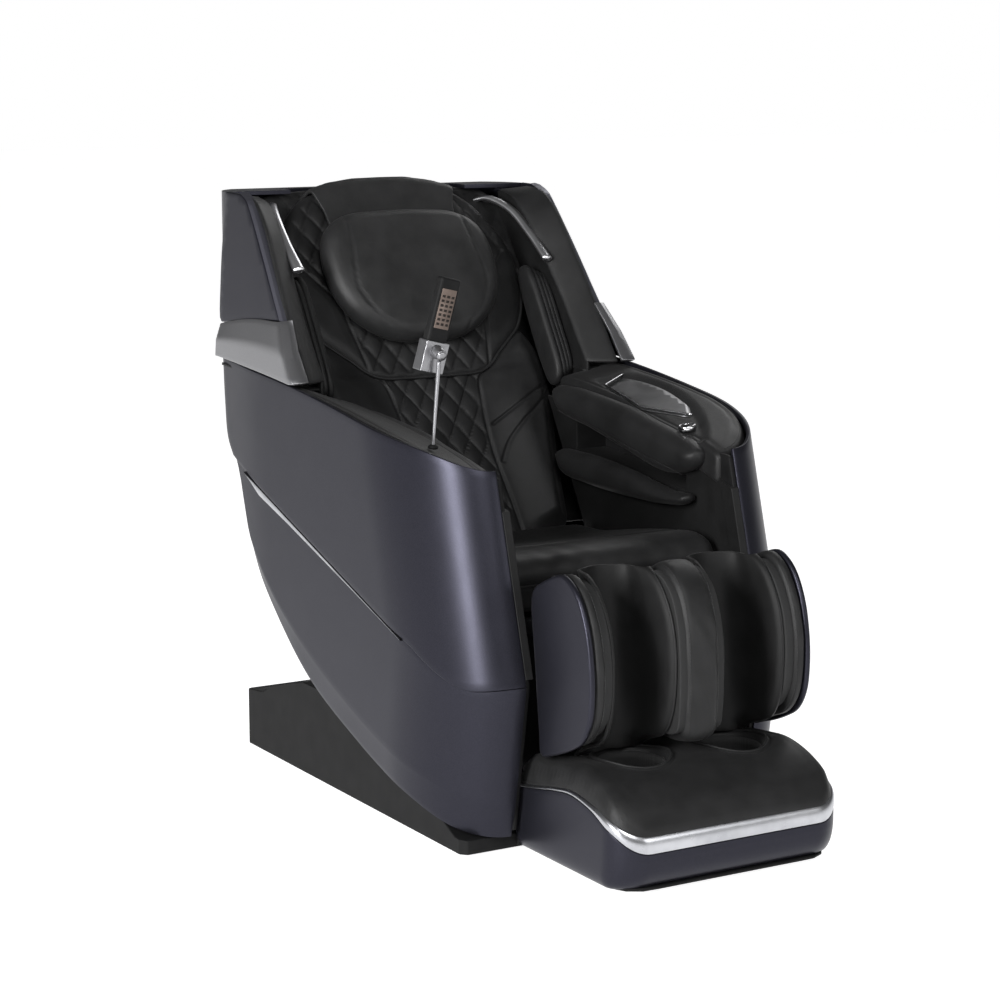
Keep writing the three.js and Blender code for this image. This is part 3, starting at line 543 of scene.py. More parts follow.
# ---- Camera, light and floor ----------------------------------------------------------------
def build_stage():
    scene = bpy.context.scene
    camera = bpy.data.objects.new("camera", bpy.data.cameras.new("camera"))
    camera.data.lens = 93.28
    camera.data.sensor_width = 36
    camera.data.clip_end = 60
    camera.location = (-2.5497, -4.208, 1.430)
    camera.rotation_euler = (math.radians(90 - 9.96), 0, math.radians(-30.6))
    scene.collection.objects.link(camera)
    scene.camera = camera

    world = bpy.data.worlds.new("studio")
    scene.world = world
    world.use_nodes = True
    nodes, links = world.node_tree.nodes, world.node_tree.links
    direction = nodes.new("ShaderNodeTexCoord").outputs["Generated"]
    split = nodes.new("ShaderNodeSeparateXYZ")
    links.new(direction, split.inputs[0])
    sky = ramp(nodes, links, split.outputs["Z"],
               [(0.0, (1, 1, 1)), (0.04, (1, 1, 1)), (0.11, (0.10, 0.10, 0.10))])
    links.new(sky, nodes["Background"].inputs["Color"])

    def softbox(name, place, target, size, power):
        light = bpy.data.lights.new(name, "AREA")
        light.shape = "RECTANGLE"
        light.size, light.size_y = size
        light.energy = power
        obj = bpy.data.objects.new(name, light)
        obj.location = place
        aim = Vector(target) - Vector(place)
        obj.rotation_euler = aim.to_track_quat("-Z", "Y").to_euler()
        scene.collection.objects.link(obj)

    softbox("key", (-1.2, -3.6, 3.2), (0, 0, 0.6), (2.0, 2.0), 90)
    softbox("side", (-4.2, -1.7, 1.9), (0, 0, 0.6), (0.8, 2.4), 300)
    softbox("rim", (2.8, 1.8, 3.0), (0, 0.2, 0.7), (2.0, 2.0), 34)
    softbox("front", (1.6, -4.2, 1.6), (0, -0.3, 0.4), (1.4, 1.2), 26)

    floor = mesh_object("floor", [(-30000, -30000, 0), (30000, -30000, 0), (30000, 30000, 0),
                                  (-30000, 30000, 0)], [(0, 1, 2, 3)])
    material, _, _, shader = new_material("floor_white")
    shader.inputs["Base Color"].default_value = (0.60, 0.60, 0.605, 1)
    shader.inputs["Roughness"].default_value = 0.7
    shader.inputs["Emission Color"].default_value = (1, 1, 1, 1)
    shader.inputs["Emission Strength"].default_value = 0.93
    floor.data.materials.append(material)
    scene.view_settings.view_transform = "Standard"


build_stage()

# ---- Side panels ----------------------------------------------------------------------------
PANEL_TOP = profile([(600, 809), (565, 808), (454, 802), (217, 785), (17, 762), (-160, 735),
                     (-254, 713), (-319, 688), (-345, 676)])
PANEL_REAR = profile([(611, 511), (650, 545), (723, 558), (808, 565)])
PANEL_BOTTOM = profile([(511, 611), (485, 553), (464, 499), (423, 415), (339, 331), (189, 223),
                        (-32, 136), (-211, 82), (-308, 47), (-357, 35), (-420, 27)])
STEP_LINE = profile([(560, 640), (511, 560), (425, 442), (338, 364), (187, 278), (-50, 186),
                     (-263, 129), (-348, 105), (-420, 78)])
CREASE_FRONT = [(-207, 378), (-240, 364), (-265, 350), (-311, 327), (-348, 313), (-373, 310),
                (-440, 322)]
CREASE_SOFT = profile(CREASE_FRONT)


def crease(y):
    straight = 378 + 0.3277 * (y + 207)
    return np.where(y >= -207, straight, CREASE_SOFT(np.minimum(y, -207)))


def panel_point(c, z, outer, front_y, rear_y):
    """Point of a panel's outer face: c runs 0..1 along the straight part, 1..2 round the front."""
    centre_y = front_y + PANEL_ROUND_DEPTH
    straight = np.clip(c, 0, 1)
    turn = np.clip(c - 1, 0, 1) * math.pi / 2
    y = np.where(c <= 1, rear_y + (centre_y - rear_y) * straight,
                 centre_y - PANEL_ROUND_DEPTH * np.sin(turn))
    x = np.where(c <= 1, outer - 18 * smoothstep(330, 660, y) ** 1.3,
                 PANEL_EDGE_X + (outer - PANEL_EDGE_X) * np.cos(turn))
    return np.stack([x, y, z], axis=-1)


def panel_columns(straight=40, turn=34):
    return np.concatenate([np.linspace(0, 1, straight, endpoint=False), 1 + np.linspace(0, 1, turn)])


def solve_height(height_at, columns, outer, front, rear_at, guess):
    """Heights at which each column meets a line that is given as height over y."""
    z = np.full(len(columns), float(guess))
    for _ in range(12):
        z = height_at(panel_point(columns, z, outer, front(z), rear_at(z))[:, 1])
    return z


CREASE_HEIGHT = 314


def upper_front(z):
    return -319 + 0.285 * (z - 680)


def lower_front(z):
    return -421 - 0.164 * (z - CREASE_HEIGHT)


def build_upper_panel(side, sign):
    columns = panel_columns()
    top = solve_height(PANEL_TOP, columns, HALF_WIDTH, upper_front, PANEL_REAR, 750)
    low = solve_height(crease, columns, HALF_WIDTH, upper_front, PANEL_REAR, 400)
    low[0] = min(low[0], top[0] - 190)
    rows = []
    for share in np.linspace(0, 1, 26):
        z = low + (top - low) * share
        face = panel_point(columns, z, HALF_WIDTH, upper_front(z), PANEL_REAR(z))
        rows.append(face * [sign, 1, 1])
    obj = grid_object(f"{side}_upper_panel", np.array(rows))
    return finish_panel(obj, sign, f"{side}_side_panel_upper")


def finish_panel(obj, sign, node):
    """Orients a panel outwards, gives it its skin thickness and eased edges."""
    middle = obj.data.polygons[len(obj.data.polygons) // 3]
    if middle.normal.x * sign < 0:
        obj.data.flip_normals()
    add_solidify(obj, PANEL_SKIN)
    add_bevel(obj, 1.8, 3, 50)
    return dress(obj, NAVY, "shell", node)


def build_lower_panel(side, sign):
    outer = HALF_WIDTH - LOWER_STEP
    tip_y = 511
    columns = panel_columns(58, 34)

    def rear_at(z):
        return np.full_like(np.asarray(z, float), tip_y)

    high = solve_height(lambda y: crease(y) - 1.5, columns, outer, lower_front, rear_at, 420)
    low = solve_height(PANEL_BOTTOM, columns, outer, lower_front, rear_at, 150)
    step = solve_height(STEP_LINE, columns, outer, lower_front, rear_at, 220)
    low = np.minimum(low, high - 0.6)
    step = np.clip(step, low + 0.25 * np.minimum(high - low, 40), high - 0.3 * (high - low))
    rows = []
    for share in np.concatenate([np.linspace(0, 0.94, 7), [1.0], 1 + np.linspace(0.05, 1, 18)]):
        z = np.where(share <= 1, low + (step - low) * share, step + (high - step) * (share - 1))
        inset = 6 * max(0.0, 1 - share) ** 0.9 * smoothstep(0, 60, high - low)
        face = panel_point(columns, z, outer, lower_front(z), rear_at(z))
        turn = np.clip(columns - 1, 0, 1) * math.pi / 2
        face[:, 0] -= inset * np.cos(turn)
        face[:, 1] += inset * np.sin(turn)
        rows.append(face * [sign, 1, 1])
    obj = grid_object(f"{side}_lower_panel", np.array(rows))
    return finish_panel(obj, sign, f"{side}_side_panel_lower")


def build_accent_strip(side, sign):
    """Thin bright blade on the crease, broad at the rear and drawn out to a point."""
    stations = np.linspace(448, -203, 70)
    share = (448 - stations) / (448 + 203)
    height = np.interp(share, [0, 0.1, 0.3, 0.7, 1], [2, 17, 12, 6.5, 3.0])
    top = crease(stations) - 1.6
    sections = []
    x = HALF_WIDTH - LOWER_STEP + 2.6
    for y, z, h in zip(stations, top, height):
        sections.append([(sign * (x - 4), y, z), (sign * (x + 3.4), y, z - 0.4),
                         (sign * (x + 3.8), y - 1, z - h * 0.5), (sign * (x + 1.6), y - 2, z - h),
                         (sign * (x - 4), y - 2, z - h)])
    obj = grid_object(f"{side}_crease_strip", np.array(sections), wrap_cols=True)
    add_bevel(obj, 0.5, 2, 40)
    dress(obj, TRIM, "shell", f"{side}_accent_strip")


def build_back_lining(side, sign):
    """Lining beside the lower pad, which closes the space behind the arm; its darker leather is
    painted shade.
    """
    obj = slab(f"{side}_backrest_lining",
               np.array([(sign * 205, -330), (sign * 302, -330), (sign * 302, 170),
                         (sign * 205, 170)]), back_plane(), -48, -43, 24)
    dress(obj, LEATHER_PAINTED_SHADE, "shell", padded=0.3)


for SIDE, SIGN in SIDES:
    build_upper_panel(SIDE, SIGN)
    build_lower_panel(SIDE, SIGN)
    build_accent_strip(SIDE, SIGN)

# ---- Backrest wings -------------------------------------------------------------------------
def wing_lean(sign):
    """The wings lean inwards towards their tops."""
    return lambda v: v - np.outer(np.clip(v[:, 2] - 902, 0, None) * 0.08 * sign, [1, 0, 0])


def rounded(points, radius, per=5):
    """Closed outline with its corners rounded off."""
    pts = [np.array(p, float) for p in points]
    out = []
    for before, corner, after in zip(pts[-1:] + pts[:-1], pts, pts[1:] + pts[:1]):
        a, b = before - corner, after - corner
        reach = min(radius, np.linalg.norm(a) * 0.45, np.linalg.norm(b) * 0.45)
        start = corner + a / np.linalg.norm(a) * reach
        end = corner + b / np.linalg.norm(b) * reach
        for t in np.linspace(0, 1, per):
            out.append((1 - t) ** 2 * start + 2 * t * (1 - t) * corner + t * t * end)
    return np.array(out)


def staggered_grid(edge, spacing):
    """Points in even rows over the bounds of an outline, every other row half a step aside."""
    lo, hi = edge.min(axis=0), edge.max(axis=0)
    return np.array([(a, b)
                     for row, b in enumerate(np.arange(lo[1], hi[1], spacing * 0.87))
                     for a in np.arange(lo[0] + (row % 2) * spacing / 2, hi[0], spacing)])


def open_edges(faces):
    """Directed edges that only one face uses."""
    used = dict.fromkeys(edge for f in faces for edge in zip(f, f[1:] + f[:1]))
    return [(a, b) for a, b in used if (b, a) not in used]


def polygon_fill(outline, spacing):
    """Triangles over an outline, with even interior points: (points, faces, edge count)."""
    edge = resample(np.vstack([outline, outline[:1]]), int(outline_length(outline) / spacing),
                    closed=True)
    spots = staggered_grid(edge, spacing)
    spots = spots[inside(spots, edge)]
    spots = spots[edge_distance(spots, edge) > spacing * 0.55]
    points = np.vstack([edge, spots])
    count = len(edge)
    result = delaunay_2d_cdt([Vector(p) for p in points], [],
                             [list(range(count))], 1, 1e-6)
    return np.array([tuple(p) for p in result[0]]), [tuple(f) for f in result[2]], count


def slab(name, outline, plane, low, high, spacing=14, warp=None, high_relief=None):
    """Flat-sided plate on an outline, evenly meshed so that it can be bent by warp."""
    points, faces, count = polygon_fill(outline, spacing)
    distance = edge_distance(points, points[:count])
    top = np.full(len(points), float(high))
    if high_relief:
        top = top + high_relief(points[:, 0], points[:, 1], distance)
    verts = np.vstack([plane(points[:, 0], points[:, 1], top),
                       plane(points[:, 0], points[:, 1], np.full(len(points), float(low)))])
    total = len(points)
    all_faces = list(faces) + [tuple(total + i for i in reversed(f)) for f in faces]
    all_faces += [(a, total + a, total + b, b) for a, b in open_edges(faces)]
    if warp:
        verts = warp(verts)
    return mesh_object(name, verts, all_faces)


WING_FRONT = catmull([(319, 903), (352, 946), (382, 985), (432, 1049), (470, 1096), (497, 1124),
                      (528, 1137)], 40)
WING_REAR = [(597, 1139), (600, 1010), (597, 876), (452, 893)]


def build_wing(side, sign):
    plane = side_plane(sign)
    lean = wing_lean(sign)
    outline = np.vstack([WING_FRONT, WING_REAR])
    skin = slab(f"{side}_wing_outer", outline, plane, 361, 369.5, 16, lean,
                lambda a, b, d: 1.5 * np.sin(np.clip((b - 890) / 250, 0, 1) * math.pi))
    add_bevel(skin, 2.5, 3, 40)
    dress(skin, NAVY, "shell", f"{side}_wing_shell")
    # Facet that turns inwards along the front edge, in a lighter navy as a painted highlight.
    rows = []
    for (y, z), width in zip(WING_FRONT, np.linspace(21, 12, len(WING_FRONT))):
        rows.append([(sign * x, y + dy, z + dz) for x, dy, dz in
                     ((369.4, 1.0, 0.6), (364.0, -7.0, -2.0), (349.5, -7.0 - width * 0.1, -2.0),
                      (349.5, 6.0, 3.0), (361.0, 8.0, 4.0))])
    facet = grid_object(f"{side}_wing_front_edge", lean(np.array(rows).reshape(-1, 3))
                        .reshape(len(rows), 5, 3), wrap_cols=True)
    add_bevel(facet, 1.6, 3, 25)
    dress(facet, NAVY_PAINTED_HIGHLIGHT, "shell")


def build_shoulder_accent(side, sign):
    """Broad silver blade under the wing, creased along its middle and folded round its front."""
    ys = np.linspace(223, 574, 34)
    bottom = np.column_stack([ys, PANEL_TOP(ys) + 2.4])
    top = catmull([(313, 900), (345, 899), (400, 898), (470, 892), (530, 883), (575, 874)], 34)
    front_rows = []
    for share in np.linspace(0, 1, 11):
        line = bottom * (1 - share) + top * share
        swell = 1 - abs(share - 0.5) / 0.5
        x = 388.0 - 0.17 * (line[:, 1] - 792) + 4.5 * swell - 2.5 * share
        outer = np.column_stack([sign * x, line[:, 0], line[:, 1]])
        width = 30 - 11 * share
        inner = outer[0] + [-sign * width, -1.0, 1.0]
        middle = outer[0] + [-sign * width * 0.45, -4.5, 0.5]
        front_rows.append(np.vstack([inner, middle, outer]))
    obj = grid_object(f"{side}_shoulder_blade", np.array(front_rows))
    pick = obj.data.polygons[len(obj.data.polygons) // 2]
    if pick.normal.x * sign < 0:
        obj.data.flip_normals()
    add_solidify(obj, 7)
    add_bevel(obj, 1.6, 3, 30)
    dress(obj, SILVER, "shell", f"{side}_shoulder_accent")


def build_wing_liner(side, sign):
    """Padded leather lining inside a wing: a rolled front band and a recessed inner panel."""
    lean = wing_lean(sign)
    front = catmull([(232, 788), (312, 896), (389, 1006), (440, 1076), (500, 1124), (560, 1130)],
                    56)
    inner_side = catmull([(268, 788), (345, 890), (424, 996), (480, 1068), (536, 1112),
                          (585, 1124)], 56)
    rows = []
    for share in np.linspace(0, 1, 15):
        angle = share * math.pi
        mix = 0.5 - 0.5 * math.cos(angle)
        depth = math.sin(angle) ** 0.7
        line = front * (1 - mix) + inner_side * mix
        forward = np.column_stack([line[:, 0] - 7 * depth, line[:, 1]])
        x = 354 - 50 * mix
        rows.append(np.column_stack([np.full(56, sign * x), forward]))
    band = grid_object(f"{side}_wing_band", lean(np.array(rows).reshape(-1, 3))
                       .reshape(15, 56, 3))
    add_solidify(band, 7, 0)
    add_bevel(band, 2, 2, 50)
    dress(band, LEATHER, "shell", f"{side}_wing_liner", padded=0.8)
    wall_outline = np.vstack([inner_side + [-4, 0], [(597, 1122), (597, 800), (575, 710),
                                                     (540, 655), (400, 640), (300, 650),
                                                     (262, 716)]])
    wall = slab(f"{side}_wing_inner_wall", wall_outline, side_plane(sign), 303, 309, 18, lean)
    add_bevel(wall, 1.5, 2, 40)
    # The recessed inner wall gets the darker leather as painted shade.
    dress(wall, LEATHER_PAINTED_SHADE, "shell", padded=0.4)
    seam_line = np.column_stack([np.full(56, sign * 352.0), front[:, 0] - 4.5, front[:, 1]])
    piping = sweep(f"{side}_wing_piping", lean(seam_line[2:-3]), 1.6, sides=8)
    dress(piping, LEATHER, "shell", padded=1.0)


def build_side_linings(side, sign):
    """Leather shelf behind the armrest, in darker leather as painted shade, and the dark strip along
    the panel's front edge.
    """
    ys = np.linspace(268, 560, 24)
    rows = [np.column_stack([np.full(24, sign * x), ys, PANEL_TOP(ys) - 12 - 0.10 * (383 - x)])
            for x in np.linspace(300, 383, 8)]
    shelf = grid_object(f"{side}_armrest_rear_shelf", np.array(rows))
    add_solidify(shelf, 5, 0)
    dress(shelf, LEATHER_PAINTED_SHADE, "shell", padded=0.4)
    zs = np.linspace(44, 676, 40)
    front = np.where(zs < CREASE_HEIGHT, lower_front(zs), upper_front(zs)) + 3
    outline = np.vstack([np.column_stack([front, zs]), np.column_stack([front + 46, zs])[::-1]])
    strip = slab(f"{side}_panel_front_lining", outline, side_plane(sign), 247, 256.0, 16)
    add_bevel(strip, 2, 2, 40)
    dress(strip, BLACK, "shell")


def build_chrome_bar(side, sign):
    """Bright bowed bar on the lining, beside the head."""
    path = catmull([(243, 628, 1100), (262, 600, 1107), (285, 540, 1086), (295, 470, 1036),
                    (297, 408, 989)], 60)
    path = np.column_stack([sign * (path[:, 0] - 9), path[:, 1] - 12, path[:, 2] + 2])
    body = sweep(f"{side}_head_side_bar", path, 12, sides=16, flatten=0.62,
                 taper=lambda t: 0.62 + 0.38 * math.sin(min(1, t * 2.2) * math.pi / 2))
    dress(body, BAR, "shell")
    grille = sweep(f"{side}_head_side_grille", path[6:-4] + [sign * 5.5, 3, -8], 7.5, sides=12,
                   flatten=0.55)
    dress(grille, BLACK, "shell")


def build_shoulder_pad(side, sign):
    """Stack of cushion leaves that squeeze the shoulder, the innermost one the longest."""
    outline = [(-14, -40), (-14, 185), (-26, 214), (-50, 212), (-64, 190), (-71, 60), (-68, -30),
               (-54, -54), (-28, -56)]
    centre = np.mean(outline, axis=0)
    leaves = ((258, 272, 1.0, 9), (270, 282, 0.955, 5.5), (281, 291, 0.91, 4.5),
              (290, 300, 0.87, 4))
    for number, (low, high, size, radius) in enumerate(leaves):
        shape = centre + (np.array(outline) - centre) * size
        leaf = pad(f"{side}_shoulder_pad_{number + 1}", shape,
                   turned(back_side_plane(sign), low, high), low, high, radius,
                   crown=5 if number == 0 else 0)
        replaced = [f"{side}_shoulder_pad"] if number == 0 else []
        dress(leaf, LEATHER, "shell", *replaced, padded=0.8)


for SIDE, SIGN in SIDES:
    build_wing(SIDE, SIGN)
    build_shoulder_accent(SIDE, SIGN)
    build_wing_liner(SIDE, SIGN)
    build_side_linings(SIDE, SIGN)
    build_back_lining(SIDE, SIGN)
    build_chrome_bar(SIDE, SIGN)
    build_shoulder_pad(SIDE, SIGN)

HOOD = refined("rear_cover", "rear_hood", 5, 4, 28)
dress(HOOD, NAVY, "shell", "rear_cover")


# ---- Backrest pads --------------------------------------------------------------------------
def quilt(a, b, width=46, height=74):
    """Diamond quilting: 0 in the seams and 1 in the middle of each diamond."""
    p = a / width + b / height
    q = a / width - b / height
    return np.abs(np.sin(math.pi * p) * np.sin(math.pi * q)) ** 0.28


def seam(distance, width=5.0):
    return np.exp(-(distance / width) ** 2)


def line_distance(a, b, path):
    """Distance of points to an open polyline."""
    points = np.column_stack([a, b])
    best = np.full(len(points), 1e9)
    for start, end in zip(path[:-1], path[1:]):
        ab = end - start
        t = np.clip(((points - start) @ ab) / max(ab @ ab, 1e-12), 0, 1)
        best = np.minimum(best, np.linalg.norm(points - (start + t[:, None] * ab), axis=1))
    return best


UPPER_OUTLINE = mirrored([(0, -8), (60, -8), (118, -4), (150, 12), (173, 34), (206, 62),
                          (236, 90), (258, 130), (272, 180), (277, 236), (268, 290), (250, 332),
                          (222, 376), (184, 412), (120, 436), (50, 447), (0, 448)])
PLAIN_EDGE = catmull([(138, 6), (146, 50), (158, 110), (171, 169), (206, 220), (245, 268)], 40)


def upper_relief(a, b, distance):
    """Quilted centre between two plain side strips, with a seam where they meet."""
    x = np.abs(a)
    boundary = np.interp(b, PLAIN_EDGE[:, 1], PLAIN_EDGE[:, 0])
    quilted = smoothstep(3, 9, boundary - x) * smoothstep(9, 20, distance)
    seams = seam(line_distance(x, b, PLAIN_EDGE), 3.2)
    roll = 3 * smoothstep(0, 26, x - boundary) * smoothstep(8, 30, distance)
    return quilted * 7.0 * (quilt(a, b) - 1) - 4.5 * seams * smoothstep(4, 14, distance) + roll


def build_upper_pad():
    obj = pad("backrest_upper_cushion", UPPER_OUTLINE, back_plane(), -60, 6, 20, crown=9,
              relief=upper_relief, spacing=3.2)
    dress(obj, LEATHER, "shell", "upper_back_pad", padded=0.85)
    edge = catmull(UPPER_OUTLINE, 360, closed=True)
    low = edge[(edge[:, 1] < 230)]
    order = np.argsort(np.arctan2(low[:, 0], -(low[:, 1] - 260)))
    low = low[order]
    line = back_plane()(low[:, 0] * 0.985, low[:, 1] + 4, np.full(len(low), 1.5))
    piping = sweep("backrest_upper_piping", resample(line, 220), 3.4, sides=10)
    dress(piping, LEATHER, "shell", padded=1.0)


def build_head_surround():
    """Quilted leather that fills the hood around the pads."""
    outline = mirrored([(0, 150), (200, 150), (298, 190), (302, 300), (294, 380), (268, 424),
                        (200, 440), (0, 445)])
    obj = pad("backrest_head_lining", outline, back_plane(), -44, -20, 8,
              relief=lambda a, b, d: 5 * (quilt(a, b) - 1) * smoothstep(4, 14, d), spacing=5)
    dress(obj, LEATHER, "shell", padded=0.5)


LOWER_QUILT_EDGE = catmull([(153, 30), (138, 8), (112, -10), (101, -60), (96, -98), (93, -150),
                            (94, -200), (104, -300), (111, -400)], 60)
SEAM_A = catmull([(275, -31), (210, -66), (150, -98), (109, -119)], 30)
SEAM_B = catmull([(270, -46), (210, -96), (166, -129), (132, -162), (108, -202)], 30)
LOWER_OUTLINE = mirrored([(0, 40), (60, 42), (118, 48), (166, 64), (206, 88), (240, 92),
                          (266, 50), (274, 0), (272, -60), (262, -120), (250, -180), (240, -240),
                          (232, -300), (222, -345), (180, -366), (90, -374), (0, -375)])


def lower_relief(a, b, distance):
    """Quilted middle; the sides rise as bolsters that hold the waist."""
    x = np.abs(a)
    boundary = np.interp(b, LOWER_QUILT_EDGE[::-1, 1], LOWER_QUILT_EDGE[::-1, 0])
    quilted = smoothstep(3, 9, boundary - x) * smoothstep(5, 14, distance)
    bolster = 30 * smoothstep(0, 95, x - boundary) * smoothstep(6, 46, distance)
    bolster *= 0.45 + 0.55 * smoothstep(20, -110, b)
    seams = (seam(x - boundary, 3.2) + seam(line_distance(x, b, SEAM_A), 3.0)
             + seam(line_distance(x, b, SEAM_B), 3.0)) * smoothstep(3, 10, distance)
    return quilted * 7.0 * (quilt(a, b) - 1) + bolster - 5.0 * np.clip(seams, 0, 1)


def build_lower_pad():
    obj = pad("backrest_lower_cushion", LOWER_OUTLINE, back_plane(), -60, -2, 16, crown=4,
              relief=lower_relief, spacing=3.4)
    dress(obj, LEATHER, "shell", "lower_back_pad", padded=0.8)


PILLOW_OUTLINE = mirrored([(0, 62), (52, 62), (92, 72), (132, 95), (166, 130), (188, 176),
                           (195, 228), (192, 272), (180, 306), (155, 332), (118, 348), (60, 353),
                           (0, 354)])
PILLOW_SEAM = catmull([(133, 340), (138, 280), (145, 220), (148, 172), (122, 118), (88, 84),
                       (76, 62)], 60)


def pillow_relief(a, b, distance):
    x = np.abs(a)
    creases = 1.1 * np.sin(b / 9.0 + a * 0.01) * seam(a - 8, 60) * smoothstep(300, 345, b)
    folds = 2.2 * np.sin(a / 16 + 0.6 * np.sin(b / 31)) * smoothstep(110, 66, b) \
        * smoothstep(4, 16, distance)
    waves = 1.4 * np.sin(a / 34 + 1.0) * np.sin(b / 41 + 0.4)
    dip = -7 * np.exp(-((a / 95) ** 2 + ((b - 210) / 80) ** 2))
    return dip - 2.6 * seam(line_distance(x, b, PILLOW_SEAM), 2.4) + creases + folds + waves


def build_pillow_flap():
    """Sheet that ties the pillow on: it lies on the cushion and folds over its top edge."""
    shape = catmull(UPPER_OUTLINE, 300, closed=True)
    rows = []
    for t in np.linspace(0, 1, 34):
        s = 322 + t * 190
        half = np.interp(t, [0, 0.25, 0.5, 0.72, 0.85, 1], [148, 152, 166, 182, 186, 186])
        x = np.linspace(-half, half, 41)
        crest = np.interp(np.abs(x), [0, 60, 120, 160, 190], [447, 446, 437, 425, 407])
        flat = np.column_stack([x, np.minimum(s, crest - 12)])
        d = edge_distance(flat, shape)
        over = np.clip(s - (crest - 12), 0, None)
        turn = np.clip(over / 24, 0, 1) * math.pi / 2
        up = np.minimum(s, crest - 12) + 15 * np.sin(turn)
        rear = 15 * (1 - np.cos(turn)) + np.clip(over - 24, 0, None)
        lift = 16 + 5 * np.clip(d / 100, 0, 1) + 2.0 * np.sin(x / 31.0) * (1 - t)
        rows.append(back_plane()(x, up, lift - rear))
    flap = grid_object("head_pillow_flap", np.array(rows))
    add_solidify(flap, 7, 0)
    return add_bevel(flap, 2.4, 3, 50)


def build_pillow():
    obj = pad("head_pillow", PILLOW_OUTLINE, back_plane(), 9, 66, 26, crown=18, low_crown=-2,
              relief=pillow_relief, spacing=4)
    dress(obj, LEATHER_SOFT, "pillow", "headrest_pillow", padded=0.75)
    dress(build_pillow_flap(), LEATHER_SOFT, "pillow", padded=0.5)


build_upper_pad()
build_head_surround()
build_lower_pad()
build_pillow()

# ---- Armrests -------------------------------------------------------------------------------
ARM_TOP = profile([(300, 788), (285, 786), (217, 783), (17, 764), (-160, 737), (-254, 715),
                   (-322, 690), (-340, 684)])
RECESS = catmull([(272, 190), (310, 192), (342, 180), (358, 140), (365, 55), (354, -30),
                  (334, -103), (304, -168), (268, -218), (244, -236), (234, -214), (233, -110),
                  (238, -24), (250, 60), (263, 150)], 120, closed=True)
PLATE_OUTLINE = rounded([(329, 172), (268, 141), (244, -22), (295, -126), (333, -60), (349, 60),
                         (344, 140)], 10)


RIGHT_ARM_DROP = 15


def arm_surface(x, y):
    """Height of the armrest top, which falls towards the seat."""
    return ARM_TOP(y) - ARM_TILT * (HALF_WIDTH - np.abs(x))


def right_arm_drop(x):
    """The right armrest falls further towards the seat than the left one."""
    return RIGHT_ARM_DROP * smoothstep(0, 110, 372 - np.abs(x))


def recess_depth(x, y, depth=8.0):
    """The recess is steep along its inner side and shallow along its outer side."""
    points = np.column_stack([np.abs(x), y])
    width = 9 + 24 * smoothstep(250, 345, points[:, 0])
    return depth * inside(points, RECESS) * smoothstep(0, 1, edge_distance(points, RECESS) / width)


def arm_plan():
    """Plan of the armrest inside the side panel, from the rear round the front."""
    outer, centre_y, length = HALF_WIDTH - PANEL_SKIN - 1, -50, 245
    turn = np.linspace(0, math.pi / 2, 20)
    front = [(PANEL_EDGE_X + (outer - PANEL_EDGE_X) * math.cos(t), centre_y - length * math.sin(t))
             for t in turn]
    return np.array([(outer, 283), (outer, 120)] + front + [(240, -290), (236, -100), (240, 60),
                                                            (246, 283)])


def build_armrest(side, sign):
    plan = rounded(arm_plan(), 12)

    def lay_on_arm(v):
        high = v[:, 2] > -20
        v = v.copy()
        v[:, 2] += arm_surface(v[:, 0], v[:, 1])
        if side == "left":
            v[high, 2] -= recess_depth(v[high, 0], v[high, 1])
        else:
            v[:, 2] -= right_arm_drop(v[:, 0])
        return v

    def relief(a, b, distance):
        return 1.5 * smoothstep(6, 30, distance) - 1.8 * seam(distance - 15, 2.0)

    top = pad(f"{side}_armrest", resample(np.vstack([plan, plan[:1]]), 170, closed=True),
              plan_plane(sign), -60, 0, 11, relief=relief, spacing=6, warp=lay_on_arm)
    dress(top, LEATHER, "shell", f"{side}_armrest_top", padded=0.9)
    seam_line = arm_plan()[1:-4]
    centre = np.array([300, 0])
    seam_line = centre + (resample(seam_line, 120) - centre) * 0.955
    x, y = seam_line.T
    depth = recess_depth(x, y) if side == "left" else right_arm_drop(x)
    path = np.column_stack([sign * x, y, arm_surface(x, y) - depth + 0.6])
    thread = stitch_row(f"{side}_armrest_stitching", path)
    dress(thread, THREAD, "shell")
    if side == "left":
        build_tray(sign)


def build_tray(sign):
    """Satin plate with a bright line round two of its sides, in the left armrest's recess."""
    def lay_in_recess(v):
        return v + np.outer(arm_surface(v[:, 0], v[:, 1]) - 7.2, [0, 0, 1])

    plate = slab("left_tray_plate", PLATE_OUTLINE, plan_plane(sign), 1.2, 2.6, 14, lay_in_recess)
    dress(plate, PLATE, "shell")
    corner = [(331, 173), (300, 157), (268, 141), (256, 60), (244, -22), (268, -76), (295, -127)]
    line = resample(np.array(corner, float), 60)
    path = np.column_stack([sign * line[:, 0], line[:, 1],
                            arm_surface(line[:, 0], line[:, 1]) + 1.2])
    trim = sweep("left_tray_trim", path, 2.0, sides=8)
    dress(trim, CHROME, "shell")


def lathe(name, profile_points, origin, axis, segments=32):
    """Turned part: (radius, height) points about an axis."""
    origin, axis = np.array(origin, float), np.array(axis, float)
    axis /= np.linalg.norm(axis)
    side = np.cross(axis, [0, 1, 0] if abs(axis[1]) < 0.9 else [1, 0, 0])
    side /= np.linalg.norm(side)
    other = np.cross(axis, side)
    angles = np.linspace(0, 2 * math.pi, segments, endpoint=False)
    rings = [[origin + axis * h + r * (math.cos(t) * side + math.sin(t) * other) for t in angles]
             for r, h in profile_points]
    obj = mesh_object(name, np.array(rings).reshape(-1, 3),
                      grid_faces(len(rings), segments, wrap_cols=True)
                      + [tuple(range(segments)),
                         tuple(reversed(range((len(rings) - 1) * segments,
                                              len(rings) * segments)))])
    return obj


KNOB_SEAT = (256, -168, 705.0)
KNOB_AXIS = (math.sin(-0.17), 0, math.cos(0.17))


